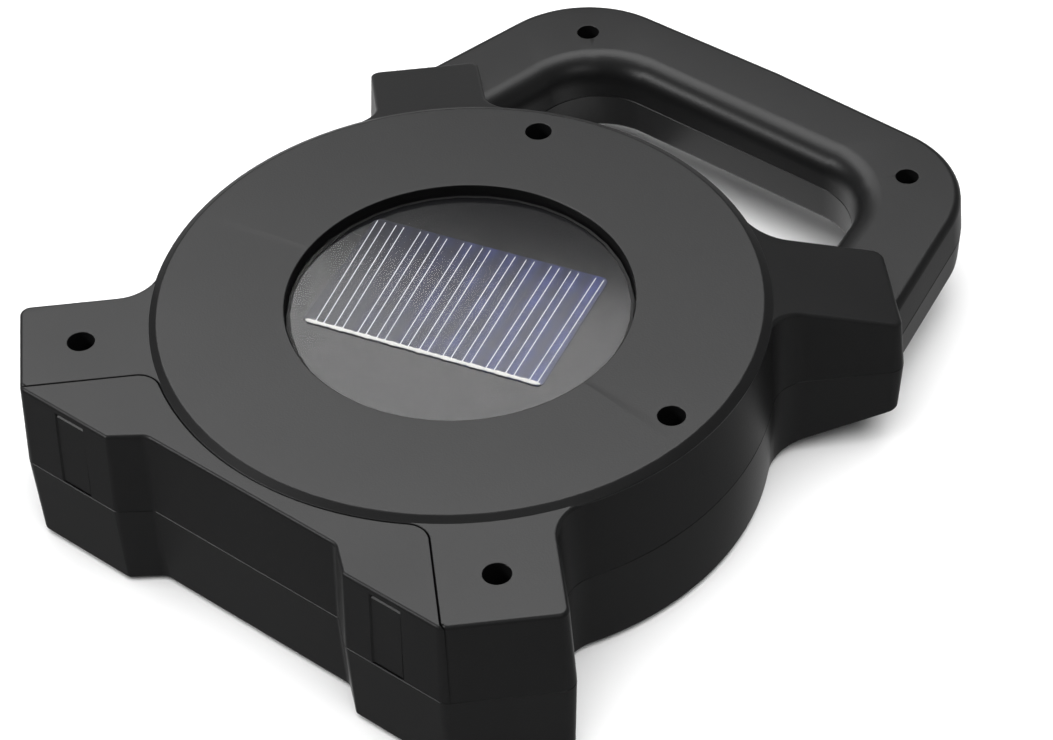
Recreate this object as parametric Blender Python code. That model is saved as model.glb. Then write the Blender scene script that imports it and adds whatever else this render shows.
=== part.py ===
"""Solar flood light with a carrying handle: one object for each piece, in metres.

The light lies on its lamp face, with the solar face up (+Z) and the handle towards +Y.
Inside this file heights are counted from the front plane of the lugs (z = 0) and plan
positions from the centre of the round body. The empty "body_centre" carries everything,
and puts the origin of the scene under the middle of the whole light.
"""

import math

import bmesh
import bpy
from mathutils import Matrix, Vector

# Overall heights. The two shells meet in the middle of the thickness.
THICKNESS = 0.0390
HALF = THICKNESS / 2
RAISED = 0.0009
GAP = 0.0003
SEAM = 0.00015
WALL = 0.0024
DRAFT = 0.0008
EDGE = 0.0008

# Plan of the body, at the seam, where it is widest.
BODY_R = 0.0626
DISC_R = 0.0600
DISC_FOOT_R = 0.0619
LUG_HALF_WIDTH = 0.0125
LUG_END = 0.0878
LUG_CORNER_R = 0.0030
STEP_CORNER_R = 0.0020
COVER_CORNER_R = 0.0020
HOLLOW_CORNER_R = 0.0045
ROOT_R = 0.0080
COVER_ROOT_R = 0.0040
FOOT_Y = -0.0709
MIDDLE_Y = -0.0661
STEP_INNER_X = 0.0237
STEP_OUTER_X = 0.0295
SLOPE_START = 0.0595
SLOPE = 0.298

# Handle, at the seam.
HANDLE_TOP_Y = 0.1092
HANDLE_CORNER = (0.0543, 0.1080)
HANDLE_OUTER_END = (0.0654, 0.0560)
HANDLE_OUTER_R = 0.0240
GRIP_Y = 0.0900
GRIP_CORNER_X = 0.0371
HANDLE_INNER_END = (0.0438, 0.0500)
HANDLE_INNER_R = 0.0150
HANDLE_HALF = 0.0086
HANDLE_OUTER_EDGE = 0.0018
HANDLE_INNER_EDGE = 0.0058
HANDLE_INNER_FRONT_EDGE = 0.0010

# Solar window.
WINDOW_R = 0.0348
WINDOW_DEPTH = 0.0011
WINDOW_THICK = 0.0010
WINDOW_BOSS_R = 0.0395
LEDGE_R = 0.0318
LEDGE_Z = 0.0353
BOARD_R = 0.0342
CELL_CENTRE = (-0.0020, 0.0012)
CELL_SIZE = (0.0518, 0.0338)
CELL_TURN = 14.75

# Lamp stack behind the front opening.
LAMP_R = 0.0500
BEZEL_INNER_R = 0.0490
LENS_R = 0.0540
LENS_THICK = 0.0020
COLLAR_R = 0.0544
COLLAR_TOP = 0.0100
EMITTER_R = 0.0110
COB_SIZE = 0.0340
HEAT_SINK_X = 0.0760
HEAT_SINK_Y = 0.0600
POST_X = 0.0260
POST_Y = 0.0200

# Screws that hold the two shells, seen at the bottom of their wells.
LUG_SCREW = (0.0527, -0.0533)
HANDLE_SCREW = (0.0424, 0.0952)
DISC_SCREWS = {"disc_screw_top": (-0.0201, 0.0502), "disc_screw_side": (0.0538, -0.0020)}
WELL_R = 0.0027
HANDLE_WELL_R = 0.00235
BOSS_R = 0.0045
WELL_FLOOR = 0.0060

# Cover latches, controls and battery.
LATCH_X = 0.03995
LATCH_SLOT = 0.0071
LATCH_ROOT_Z = 0.0095
LATCH_TOP_Z = 0.0370
LATCH_Y = -0.0687
BUTTON_Z = 0.0290
BUTTON_R = 0.0055
FLAP_HALF_X = 0.0155
FLAP_Z = (0.0212, 0.0342)
PORT_FLOOR_Y = 0.0596
BATTERY_Y = -0.0500
BATTERY_Z = 0.0278
BATTERY_R = 0.0091
BATTERY_LENGTH = 0.0650
CONTROL_BOARD_Z = 0.0216
BOARD_SCREWS = ((0.0170, 0.0410), (-0.0110, 0.0415))
HEAD_HEIGHT = 0.0018
LEAD_R = 0.0006
LEAD_SPACING = 0.0018

MANIFOLD_TARGETS = ("back_shell", "front_shell", "battery_cover")
BODY_SHIFT = (0.0, -(HANDLE_TOP_Y + FOOT_Y) / 2, RAISED)
ARC_STEP = 8.0
TURN_STEPS = 48


# ---------------------------------------------------------------- materials


def material(name, colour, roughness, metallic=0.0, alpha=1.0):
    made = bpy.data.materials.new(name)
    made.use_nodes = True
    shader = made.node_tree.nodes["Principled BSDF"]
    shader.inputs["Base Color"].default_value = (*colour, 1.0)
    shader.inputs["Roughness"].default_value = roughness
    shader.inputs["Metallic"].default_value = metallic
    shader.inputs["Alpha"].default_value = alpha
    made.diffuse_color = (*colour, alpha)
    return made


def make_materials():
    return {
        "shell": material("black_abs", (0.030, 0.030, 0.031), 0.42),
        "cover": material("black_abs_cover", (0.028, 0.028, 0.029), 0.44),
        "trim": material("dark_gloss_plastic", (0.020, 0.020, 0.021), 0.25),
        "rubber": material("black_rubber", (0.022, 0.022, 0.022), 0.75),
        "clear": material("clear_polycarbonate", (0.80, 0.83, 0.85), 0.06, 0.0, 0.35),
        "panel": material("solar_panel_black", (0.010, 0.011, 0.016), 0.20),
        "cell": material("solar_cell_blue", (0.020, 0.028, 0.080), 0.25, 0.3),
        "mirror": material("metallised_reflector", (0.86, 0.86, 0.87), 0.12, 1.0),
        "phosphor": material("phosphor_yellow", (0.85, 0.62, 0.10), 0.55),
        "aluminium": material("aluminium", (0.72, 0.73, 0.74), 0.35, 1.0),
        "board": material("circuit_board_green", (0.02, 0.16, 0.07), 0.40),
        "steel": material("zinc_steel", (0.55, 0.55, 0.56), 0.35, 1.0),
        "screw": material("black_oxide_steel", (0.06, 0.06, 0.06), 0.45, 1.0),
        "wrap": material("battery_wrap", (0.05, 0.20, 0.42), 0.30),
        "chip": material("chip_black", (0.025, 0.025, 0.027), 0.50),
        "red": material("lead_red", (0.55, 0.03, 0.03), 0.40),
        "black": material("lead_black", (0.02, 0.02, 0.02), 0.40),
    }


# ---------------------------------------------------------------- outlines


def arc(centre, radius, start, end, steps):
    """Points on an arc from one angle to the other, in degrees, both ends included."""
    points = []
    for i in range(steps + 1):
        angle = math.radians(start + (end - start) * i / steps)
        points.append((centre[0] + radius * math.cos(angle), centre[1] + radius * math.sin(angle)))
    return points


def turned_plan(points, degrees):
    """Plan points turned about the body's centre."""
    cos, sin = math.cos(math.radians(degrees)), math.sin(math.radians(degrees))
    return [(x * cos - y * sin, x * sin + y * cos) for x, y in points]


def rounded(before, corners, after, steps=3):
    """A chain of straight sides whose corners (point, radius) are arcs."""
    chain = [before] + [point for point, _ in corners] + [after]
    points = []
    for i, (corner, radius) in enumerate(corners, start=1):
        here = Vector(corner)
        back = (Vector(chain[i - 1]) - here).normalized()
        ahead = (Vector(chain[i + 1]) - here).normalized()
        if radius == 0:
            points.append(tuple(here))
            continue
        half = back.angle(ahead) / 2
        centre = here + (back + ahead).normalized() * radius / math.sin(half)
        first = here + back * radius / math.tan(half) - centre
        last = here + ahead * radius / math.tan(half) - centre
        for k in range(steps + 1):
            swing = first.lerp(last, k / steps).normalized() * radius
            points.append(tuple(centre + swing))
    return points


def inset(outline, amounts):
    """The closed outline moved inwards, by one amount or by one for each point."""
    if not isinstance(amounts, list):
        amounts = [amounts] * len(outline)
    moved = []
    for i, (x, y) in enumerate(outline):
        before = Vector(outline[i - 1])
        here = Vector((x, y))
        after = Vector(outline[(i + 1) % len(outline)])
        first = (here - before).normalized()
        second = (after - here).normalized()
        normal_1 = Vector((-first.y, first.x))
        normal_2 = Vector((-second.y, second.x))
        mitre = (normal_1 + normal_2) / (1 + normal_1.dot(normal_2))
        moved.append(tuple(here + mitre * amounts[i]))
    return moved


def root_angle(radius):
    """Angle from a lug's middle line to where its root fillet meets the round body."""
    return math.degrees(math.asin((LUG_HALF_WIDTH + radius) / (BODY_R + radius)))


def root_fillet(direction, side, radius, steps=4):
    """The fillet at one root of the lug. Side -1 is the clockwise one."""
    across = LUG_HALF_WIDTH + radius
    along = math.sqrt((BODY_R + radius) ** 2 - across**2)
    to_body = 180 - root_angle(radius)
    if side < 0:
        points = arc((along, -across), radius, to_body, 90, steps)
    else:
        points = arc((along, across), radius, -90, -to_body, steps)
    return turned_plan(points, direction)


def lug_corner(direction, side, radius, steps=3):
    centre = (LUG_END - radius, side * (LUG_HALF_WIDTH - radius))
    start = -90 if side < 0 else 0
    return turned_plan(arc(centre, radius, start, start + 90, steps), direction)


def body_arc(start, end):
    """Points on the round body between two angles, both ends left out."""
    steps = max(2, round((end - start) / ARC_STEP))
    return arc((0, 0), BODY_R, start, end, steps)[1:-1]


def mirrored(right):
    """A closed outline from its right side, listed from the bottom to the top."""
    left = [(-x, y) for x, y in reversed(right) if x > 1e-6]
    return right + left


def upper_right_side(corner):
    """The right side of the body above the lower lug's tip."""
    turn = root_angle(ROOT_R)
    points = lug_corner(-45, 1, corner) + root_fillet(-45, 1, ROOT_R)
    points += body_arc(-45 + turn, 45 - turn)
    points += root_fillet(45, -1, ROOT_R)
    points += lug_corner(45, -1, corner) + lug_corner(45, 1, corner)
    points += root_fillet(45, 1, ROOT_R)
    points += body_arc(45 + turn, 90) + [(0.0, BODY_R)]
    return points


def body_outline(hollow=False):
    """The whole body: round, with four lugs, and two feet between the lower ones.

    The outline of a hollow has larger corners, which are still round after its inset."""
    corner = HOLLOW_CORNER_R if hollow else LUG_CORNER_R
    tip_middle = turned_plan([(LUG_END, 0.0)], -45)[0]
    foot_corner = (LUG_END * math.sqrt(2) + FOOT_Y, FOOT_Y)
    feet = [
        ((STEP_INNER_X, MIDDLE_Y), STEP_CORNER_R),
        ((STEP_OUTER_X, FOOT_Y), HOLLOW_CORNER_R if hollow else STEP_CORNER_R),
        (foot_corner, corner),
    ]
    return mirrored(rounded((0.0, MIDDLE_Y), feet, tip_middle) + upper_right_side(corner))


def back_outline(hollow=False):
    """The body without its feet: the lower lugs run back to the round body."""
    corner = HOLLOW_CORNER_R if hollow else LUG_CORNER_R
    cover_corner = HOLLOW_CORNER_R if hollow else COVER_CORNER_R
    turn = root_angle(COVER_ROOT_R)
    points = [(0.0, -BODY_R)] + body_arc(-90, -45 - turn)
    points += root_fillet(-45, -1, COVER_ROOT_R) + lug_corner(-45, -1, cover_corner)
    return mirrored(points + upper_right_side(corner))


def handle_outline(inner_edge):
    """The handle's horseshoe, and the edge radius of each of its points."""
    outer_left = (-HANDLE_OUTER_END[0], HANDLE_OUTER_END[1])
    outer_corner_left = (-HANDLE_CORNER[0], HANDLE_CORNER[1])
    inner_left = (-HANDLE_INNER_END[0], HANDLE_INNER_END[1])
    outer = [
        (HANDLE_OUTER_END, 0),
        (HANDLE_CORNER, HANDLE_OUTER_R),
        ((0.0, HANDLE_TOP_Y), 0),
        (outer_corner_left, HANDLE_OUTER_R),
        (outer_left, 0),
    ]
    inner = [
        (inner_left, 0),
        ((-GRIP_CORNER_X, GRIP_Y), HANDLE_INNER_R),
        ((GRIP_CORNER_X, GRIP_Y), HANDLE_INNER_R),
        (HANDLE_INNER_END, 0),
    ]
    outside = rounded(HANDLE_INNER_END, outer, inner_left, 5)
    inside = rounded(outer_left, inner, HANDLE_OUTER_END, 5)
    radii = [HANDLE_OUTER_EDGE] * len(outside) + [inner_edge] * len(inside)
    return outside + inside, radii


# ---------------------------------------------------------------- solids


def add_rings(bm, rings):
    """Skin a stack of rings of points, lowest first, and close both ends."""
    made = [[bm.verts.new(point) for point in ring] for ring in rings]
    for lower, upper in zip(made, made[1:]):
        for i in range(len(lower)):
            j = (i + 1) % len(lower)
            bm.faces.new((lower[i], lower[j], upper[j], upper[i]))
    bm.faces.new(reversed(made[0]))
    bm.faces.new(made[-1])


def add_prism(bm, outline, low, high):
    add_rings(bm, [[(x, y, z) for x, y in outline] for z in (low, high)])


def add_box(bm, low, high):
    corners = [(low[0], low[1]), (high[0], low[1]), (high[0], high[1]), (low[0], high[1])]
    add_prism(bm, corners, low[2], high[2])


def add_turned(bm, profile, place=Matrix(), steps=TURN_STEPS):
    """Turn a closed profile of (radius, height) about the placed Z axis."""
    rings = []
    for radius, height in profile:
        if radius == 0:
            rings.append([bm.verts.new(place @ Vector((0, 0, height)))] * steps)
            continue
        circle = arc((0, 0), radius, 0, 360, steps)[:-1]
        rings.append([bm.verts.new(place @ Vector((x, y, height))) for x, y in circle])
    for i, ring in enumerate(rings):
        other = rings[(i + 1) % len(rings)]
        for k in range(steps):
            j = (k + 1) % steps
            corners = list(dict.fromkeys((ring[k], other[k], other[j], ring[j])))
            if len(corners) > 2:
                bm.faces.new(corners)


def add_rod(bm, x, y, radius, low, high, steps=14):
    place = Matrix.Translation((x, y, 0))
    add_turned(bm, [(0, low), (radius, low), (radius, high), (0, high)], place, steps)


def add_tube(bm, x, y, inner, outer, low, high, steps=20):
    place = Matrix.Translation((x, y, 0))
    add_turned(bm, [(inner, low), (outer, low), (outer, high), (inner, high)], place, steps)


def edge_rings(outline, radii, low, high, draft, angles):
    """Rings up a drafted wall and round the edge radius to the face at the top."""
    rings = [[(x, y, low) for x, y in outline]]
    for angle in angles:
        cos, sin = math.cos(math.radians(angle)), math.sin(math.radians(angle))
        moved = inset(outline, [draft + radius * (1 - cos) for radius in radii])
        rings.append([(x, y, high - radius * (1 - sin)) for (x, y), radius in zip(moved, radii)])
    return rings


def half_body(outline, wall, low, high, edge):
    """Half of the body above the seam, with the faces of the upper lugs sloping down.

    Heights are counted from the seam. Wall is how far the outline is moved in."""
    bm = bmesh.new()
    start = inset(outline, wall)
    angles = (0, 90) if edge else (90,)
    add_rings(bm, edge_rings(start, [edge] * len(start), low, high, DRAFT, angles))
    for direction in (45, 135):
        along = Vector((*turned_plan([(1.0, 0.0)], direction)[0], 0))
        geometry = bm.verts[:] + bm.edges[:] + bm.faces[:]
        bmesh.ops.bisect_plane(bm, geom=geometry, plane_co=along * SLOPE_START, plane_no=along)
        for vert in bm.verts:
            beyond = max(0.0, vert.co.dot(along) - SLOPE_START)
            vert.co.z *= 1 - SLOPE * beyond / HALF
    return bm


def half_handle(wall, low, high, side):
    """Half of the handle above the seam. Wall is how far the outline is moved in.

    The grip is rounded towards the solar side and nearly square towards the lamp side.
    """
    bm = bmesh.new()
    outline, radii = handle_outline(HANDLE_INNER_EDGE if side > 0 else HANDLE_INNER_FRONT_EDGE)
    radii = [max(radius - wall, 0.0004) for radius in radii]
    add_rings(bm, edge_rings(inset(outline, wall), radii, low, high, 0.0004, (0, 45, 90)))
    return bm


def seam_to_height(bm, side):
    """Heights above the seam become heights of the back half (1) or front half (-1)."""
    for vert in bm.verts:
        vert.co.z = HALF + side * vert.co.z


# ---------------------------------------------------------------- objects


def place_object(name, data, finish, origin=(0, 0, 0)):
    made = bpy.data.objects.new(name, data)
    bpy.context.scene.collection.objects.link(made)
    made.parent = bpy.data.objects["body_centre"]
    made.location = origin
    data.materials.append(finish)
    return made


def solid(name, bm, finish, origin=(0, 0, 0)):
    """An object from a bmesh, with its own origin."""
    bmesh.ops.translate(bm, verts=bm.verts, vec=-Vector(origin))
    bmesh.ops.recalc_face_normals(bm, faces=bm.faces)
    bmesh.ops.triangulate(bm, faces=bm.faces)
    mesh = bpy.data.meshes.new(name)
    bm.to_mesh(mesh)
    bm.free()
    mesh.shade_smooth()
    mesh.set_sharp_from_angle(angle=math.radians(32))
    return place_object(name, mesh, finish, origin)


def boolean(target, tool, operation):
    """Use a solid as a hidden tool on the target."""
    tool.hide_render = True
    tool.display_type = "WIRE"
    modifier = target.modifiers.new(tool.name, "BOOLEAN")
    modifier.operation = operation
    # The drafted, sloped shells leave near-coincident faces, which EXACT doesn't close.
    modifier.solver = "MANIFOLD" if target.name in MANIFOLD_TARGETS else "EXACT"
    modifier.object = tool


def join(target, bm, label):
    boolean(target, solid(f"{target.name}_{label}_add", bm, target.data.materials[0]), "UNION")


def cut(target, bm, label):
    boolean(target, solid(f"{target.name}_{label}_cut", bm, target.data.materials[0]), "DIFFERENCE")


def shell_screws():
    """Name, place and well radius of each screw that holds the shells."""
    places = {
        "lug_screw_right": (*LUG_SCREW, WELL_R),
        "lug_screw_left": (-LUG_SCREW[0], LUG_SCREW[1], WELL_R),
        "handle_screw_right": (*HANDLE_SCREW, HANDLE_WELL_R),
        "handle_screw_left": (-HANDLE_SCREW[0], HANDLE_SCREW[1], HANDLE_WELL_R),
    }
    for name, (x, y) in DISC_SCREWS.items():
        places[name] = (x, y, WELL_R)
    return places


def well_floor(name):
    """Height of the floor of the screw's well."""
    return HALF + (0.0035 if name.startswith("handle") else WELL_FLOOR)


def bore_depth(name):
    """Depth below the seam of the front shell's bore for the screw."""
    return 0.0050 if name.startswith("handle") else 0.0100


# ---------------------------------------------------------------- housing


def shell_base(name, outline, side, finish):
    """A hollow shell half with its handle half, open at the seam."""
    outer = half_body(outline, 0.0, SEAM, HALF, EDGE)
    seam_to_height(outer, side)
    shell = solid(name, outer, finish)
    grip = half_handle(0.0, SEAM, HANDLE_HALF, side)
    seam_to_height(grip, side)
    join(shell, grip, "grip")
    return shell


def hollow(shell, outline, side):
    hollow_body = half_body(outline, WALL, -0.001, HALF - WALL, 0)
    seam_to_height(hollow_body, side)
    cut(shell, hollow_body, "body")
    hollow_grip = half_handle(WALL, -0.001, HANDLE_HALF - WALL, side)
    seam_to_height(hollow_grip, side)
    cut(shell, hollow_grip, "grip")


def make_back_shell(finish):
    shell = shell_base("back_shell", back_outline(), 1, finish)
    top = THICKNESS + RAISED
    disc = bmesh.new()
    root = THICKNESS - 0.0012
    foot = THICKNESS - 0.0003
    profile = [(0, root), (DISC_FOOT_R - 0.0002, root), (DISC_FOOT_R, foot), (DISC_R, top), (0, top)]
    add_turned(disc, profile)
    join(shell, disc, "disc")
    hollow(shell, back_outline(hollow=True), 1)

    bosses = bmesh.new()
    plate = THICKNESS - WALL + 0.0003
    add_tube(bosses, 0, 0, 0.030, WINDOW_BOSS_R, 0.0334, plate, TURN_STEPS)
    for name, (x, y, _) in shell_screws().items():
        high = HALF + HANDLE_HALF - WALL + 0.0003 if name.startswith("handle") else plate
        add_rod(bosses, x, y, BOSS_R, HALF + SEAM, high)
    join(shell, bosses, "boss")
    ports = bmesh.new()
    port_wall = arc((0, 0), BODY_R - 0.0014, 73, 107, 6)
    add_prism(ports, port_wall + [(-0.0160, 0.0560), (0.0160, 0.0560)], 0.0202, 0.0355)
    for x, y in BOARD_SCREWS:
        add_rod(ports, x, y, 0.0020, CONTROL_BOARD_Z + 0.0019, plate, 12)
    join(shell, ports, "port")

    wells = bmesh.new()
    for name, (x, y, radius) in shell_screws().items():
        add_rod(wells, x, y, radius, well_floor(name), top + 0.001)
    cut(shell, wells, "well")
    shanks = bmesh.new()
    for name, (x, y, _) in shell_screws().items():
        add_rod(shanks, x, y, 0.0018, HALF - 0.001, well_floor(name) + 0.0005, 12)
    cut(shell, shanks, "shank")
    window = bmesh.new()
    add_rod(window, 0, 0, WINDOW_R, LEDGE_Z, top + 0.001, TURN_STEPS)
    cut(shell, window, "window")
    ledge = bmesh.new()
    add_rod(ledge, 0, 0, LEDGE_R, 0.0300, LEDGE_Z + 0.0005, TURN_STEPS)
    cut(shell, ledge, "ledge")
    bay = bmesh.new()
    add_box(bay, (-0.0395, -0.0680, 0.0180), (0.0395, -0.0450, 0.0370))
    cut(shell, bay, "bay")
    pocket = bmesh.new()
    half = FLAP_HALF_X + GAP
    add_box(pocket, (-half, PORT_FLOOR_Y, FLAP_Z[0] - GAP), (half, 0.0660, FLAP_Z[1] + GAP))
    cut(shell, pocket, "pocket")
    sockets = bmesh.new()
    add_box(sockets, (-0.01185, 0.0500, 0.0232), (0.00185, PORT_FLOOR_Y + 0.0005, 0.0295))
    add_box(sockets, (0.0043, 0.0500, 0.0232), (0.0127, PORT_FLOOR_Y + 0.0005, 0.0266))
    cut(shell, sockets, "sockets")
    openings = bmesh.new()
    sideways = Matrix.Translation((0, 0, BUTTON_Z)) @ Matrix.Rotation(math.radians(-90), 4, "Y")
    bore = BUTTON_R + GAP
    add_turned(openings, [(0, 0.0580), (bore, 0.0580), (bore, 0.0660), (0, 0.0660)], sideways, 28)
    cut(shell, openings, "opening")
    return shell


def make_front_shell(finish):
    shell = shell_base("front_shell", body_outline(), -1, finish)
    hollow(shell, body_outline(hollow=True), -1)
    inner = bmesh.new()
    add_tube(inner, 0, 0, COLLAR_R, COLLAR_R + 0.0020, WALL - 0.0003, COLLAR_TOP, TURN_STEPS)
    for x, y in (HANDLE_SCREW, (-HANDLE_SCREW[0], HANDLE_SCREW[1])):
        add_rod(inner, x, y, 0.0038, HALF - HANDLE_HALF + WALL - 0.0003, HALF - SEAM)
    for x, y in (LUG_SCREW, (-LUG_SCREW[0], LUG_SCREW[1])):
        add_rod(inner, x, y, 0.0038, WALL - 0.0003, HALF - SEAM)
    join(shell, inner, "inner")
    # The disc screws stand on posts that rise from the collar.
    posts = bmesh.new()
    for x, y in DISC_SCREWS.values():
        add_rod(posts, x, y, 0.0038, COLLAR_TOP - 0.0010, HALF - SEAM)
    join(shell, posts, "post")
    opening = bmesh.new()
    add_rod(opening, 0, 0, LAMP_R, -0.001, 0.0060, TURN_STEPS)
    cut(shell, opening, "lamp")
    rebate = bmesh.new()
    add_rod(rebate, 0, 0, DISC_R + 0.0001, -0.001, 0.0012, TURN_STEPS)
    for side in (-1, 1):
        low = (side * LATCH_X - LATCH_SLOT / 2, -0.0730, LATCH_ROOT_Z - GAP)
        add_box(rebate, low, (side * LATCH_X + LATCH_SLOT / 2, -0.0640, HALF + 0.001))
    cut(shell, rebate, "rebate")
    bores = bmesh.new()
    for name, (x, y, _) in shell_screws().items():
        add_rod(bores, x, y, 0.0018, HALF - bore_depth(name), HALF + 0.001, 12)
    cut(shell, bores, "bore")
    return shell


def make_battery_cover(finish):
    """The piece between the lower lugs: both feet and the strip below the disc."""
    outer = half_body(body_outline(), 0.0, SEAM, HALF, EDGE)
    seam_to_height(outer, 1)
    cover = solid("battery_cover", outer, finish)
    body = half_body(back_outline(), -GAP, -0.001, HALF + 0.001, 0)
    seam_to_height(body, 1)
    cut(cover, body, "body")
    space = half_body(body_outline(hollow=True), 0.0022, -0.001, HALF - 0.0022, 0)
    seam_to_height(space, 1)
    cut(cover, space, "space")
    above = bmesh.new()
    add_box(above, (-0.1, -0.0400, 0.015), (0.1, 0.12, 0.045))
    cut(cover, above, "above")
    notches = bmesh.new()
    for side in (-1, 1):
        low = (side * LATCH_X - LATCH_SLOT / 2, -0.0730, HALF - 0.001)
        add_box(notches, low, (side * LATCH_X + LATCH_SLOT / 2, -0.0640, LATCH_TOP_Z + GAP))
    cut(cover, notches, "notch")
    return cover


def make_latches(finish):
    """Spring tongues that stand in the cover's notches, hinged at their roots."""
    half = LATCH_SLOT / 2 - GAP
    for side, label in ((-1, "left"), (1, "right")):
        tongue = bmesh.new()
        x = side * LATCH_X
        low, high = (x - half, LATCH_Y - 0.0009, LATCH_ROOT_Z), (x + half, LATCH_Y + 0.0007, LATCH_TOP_Z)
        add_box(tongue, low, high)
        solid(f"cover_latch_{label}", tongue, finish, (x, LATCH_Y, LATCH_ROOT_Z + 0.0005))


# ---------------------------------------------------------------- solar side


def make_solar_side(finish):
    top = THICKNESS + RAISED - WINDOW_DEPTH
    low = top - WINDOW_THICK
    board_low = LEDGE_Z + GAP
    board_top = board_low + 0.0013
    window = bmesh.new()
    rim = WINDOW_R - GAP
    add_turned(window, [(0, low), (rim, low), (rim, top - 0.0005), (rim - 0.0008, top), (0, top)])
    solid("solar_window", window, finish["clear"])
    seal = bmesh.new()
    add_tube(seal, 0, 0, rim - 0.0007, rim - 0.0001, board_top + GAP, low - GAP, 36)
    solid("window_seal", seal, finish["rubber"])
    board = bmesh.new()
    add_rod(board, 0, 0, BOARD_R, board_low, board_top, TURN_STEPS)
    solid("solar_board", board, finish["panel"])
    cell = bmesh.new()
    half_x, half_y = CELL_SIZE[0] / 2, CELL_SIZE[1] / 2
    add_box(cell, (-half_x, -half_y, board_top + GAP), (half_x, half_y, board_top + 0.0006))
    bmesh.ops.rotate(cell, verts=cell.verts, matrix=Matrix.Rotation(math.radians(CELL_TURN), 3, "Z"))
    bmesh.ops.translate(cell, verts=cell.verts, vec=(*CELL_CENTRE, 0))
    solid("solar_cell", cell, finish["cell"])


# ---------------------------------------------------------------- lamp side


def make_heat_sink(finish):
    """A plate with fins along Y, as one comb-shaped profile."""
    base, plate, fin_top = 0.0182, 0.0202, 0.0260
    fins, fin = 9, 0.0018
    pitch = (HEAT_SINK_X - fin) / (fins - 1)
    profile = [(-HEAT_SINK_X / 2, base), (HEAT_SINK_X / 2, base)]
    for i in reversed(range(fins)):
        left = -HEAT_SINK_X / 2 + i * pitch
        profile += [(left + fin, plate)] * (i < fins - 1)
        profile += [(left + fin, fin_top), (left, fin_top)] + [(left, plate)] * (i > 0)
    sink = bmesh.new()
    half = HEAT_SINK_Y / 2
    add_rings(sink, [[(x, y, z) for x, z in profile] for y in (-half, half)])
    made = solid("heat_sink", sink, finish)
    holes = bmesh.new()
    heads = bmesh.new()
    for x in (-POST_X, POST_X):
        for y in (-POST_Y, POST_Y):
            add_rod(holes, x, y, 0.0014, base - 0.001, plate + 0.001, 12)
            add_rod(heads, x, y, 0.0032, plate, fin_top + 0.001, 12)
    cut(made, heads, "head")
    cut(made, holes, "hole")


def make_lamp(finish):
    bezel = bmesh.new()
    rim = DISC_R - GAP
    add_turned(
        bezel,
        [
            (BEZEL_INNER_R + 0.0008, -RAISED),
            (rim - 0.0009, -RAISED),
            (rim, 0.0),
            (rim, 0.0009),
            (BEZEL_INNER_R, 0.0009),
            (BEZEL_INNER_R, -0.0001),
        ],
    )
    solid("front_bezel", bezel, finish["trim"])
    lens_low = WALL + GAP
    lens_high = lens_low + LENS_THICK
    lens = bmesh.new()
    add_rod(lens, 0, 0, LENS_R, lens_low, lens_high, TURN_STEPS)
    solid("front_lens", lens, finish["clear"])
    seal = bmesh.new()
    seal_high = lens_high + GAP + 0.0010
    add_tube(seal, 0, 0, LENS_R - 0.0030, LENS_R, lens_high + GAP, seal_high, 36)
    solid("lens_seal", seal, finish["rubber"])

    flange = seal_high + GAP
    hole = EMITTER_R + 0.0015
    dish = bmesh.new()
    add_turned(
        dish,
        [
            (LENS_R, flange),
            (LENS_R, flange + 0.0012),
            (0.0506, flange + 0.0012),
            (0.0150, 0.0164),
            (hole, 0.0164),
            (hole, 0.0152),
            (0.0144, 0.0152),
            (0.0498, flange),
        ],
    )
    reflector = solid("reflector", dish, finish["mirror"])
    posts = bmesh.new()
    bores = bmesh.new()
    for x in (-POST_X, POST_X):
        for y in (-POST_Y, POST_Y):
            add_rod(posts, x, y, 0.0025, 0.0114, 0.0179, 10)
            add_rod(bores, x, y, 0.0013, 0.0135, 0.0190, 8)
    join(reflector, posts, "post")
    cut(reflector, bores, "bore")

    board = bmesh.new()
    half = COB_SIZE / 2
    add_box(board, (-half, -half, 0.0167), (half, half, 0.0179))
    solid("cob_board", board, finish["aluminium"])
    emitter = bmesh.new()
    add_rod(emitter, 0, 0, EMITTER_R, 0.0156, 0.0164, 40)
    solid("cob_emitter", emitter, finish["phosphor"])
    make_heat_sink(finish["aluminium"])


# ---------------------------------------------------------------- electronics


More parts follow.
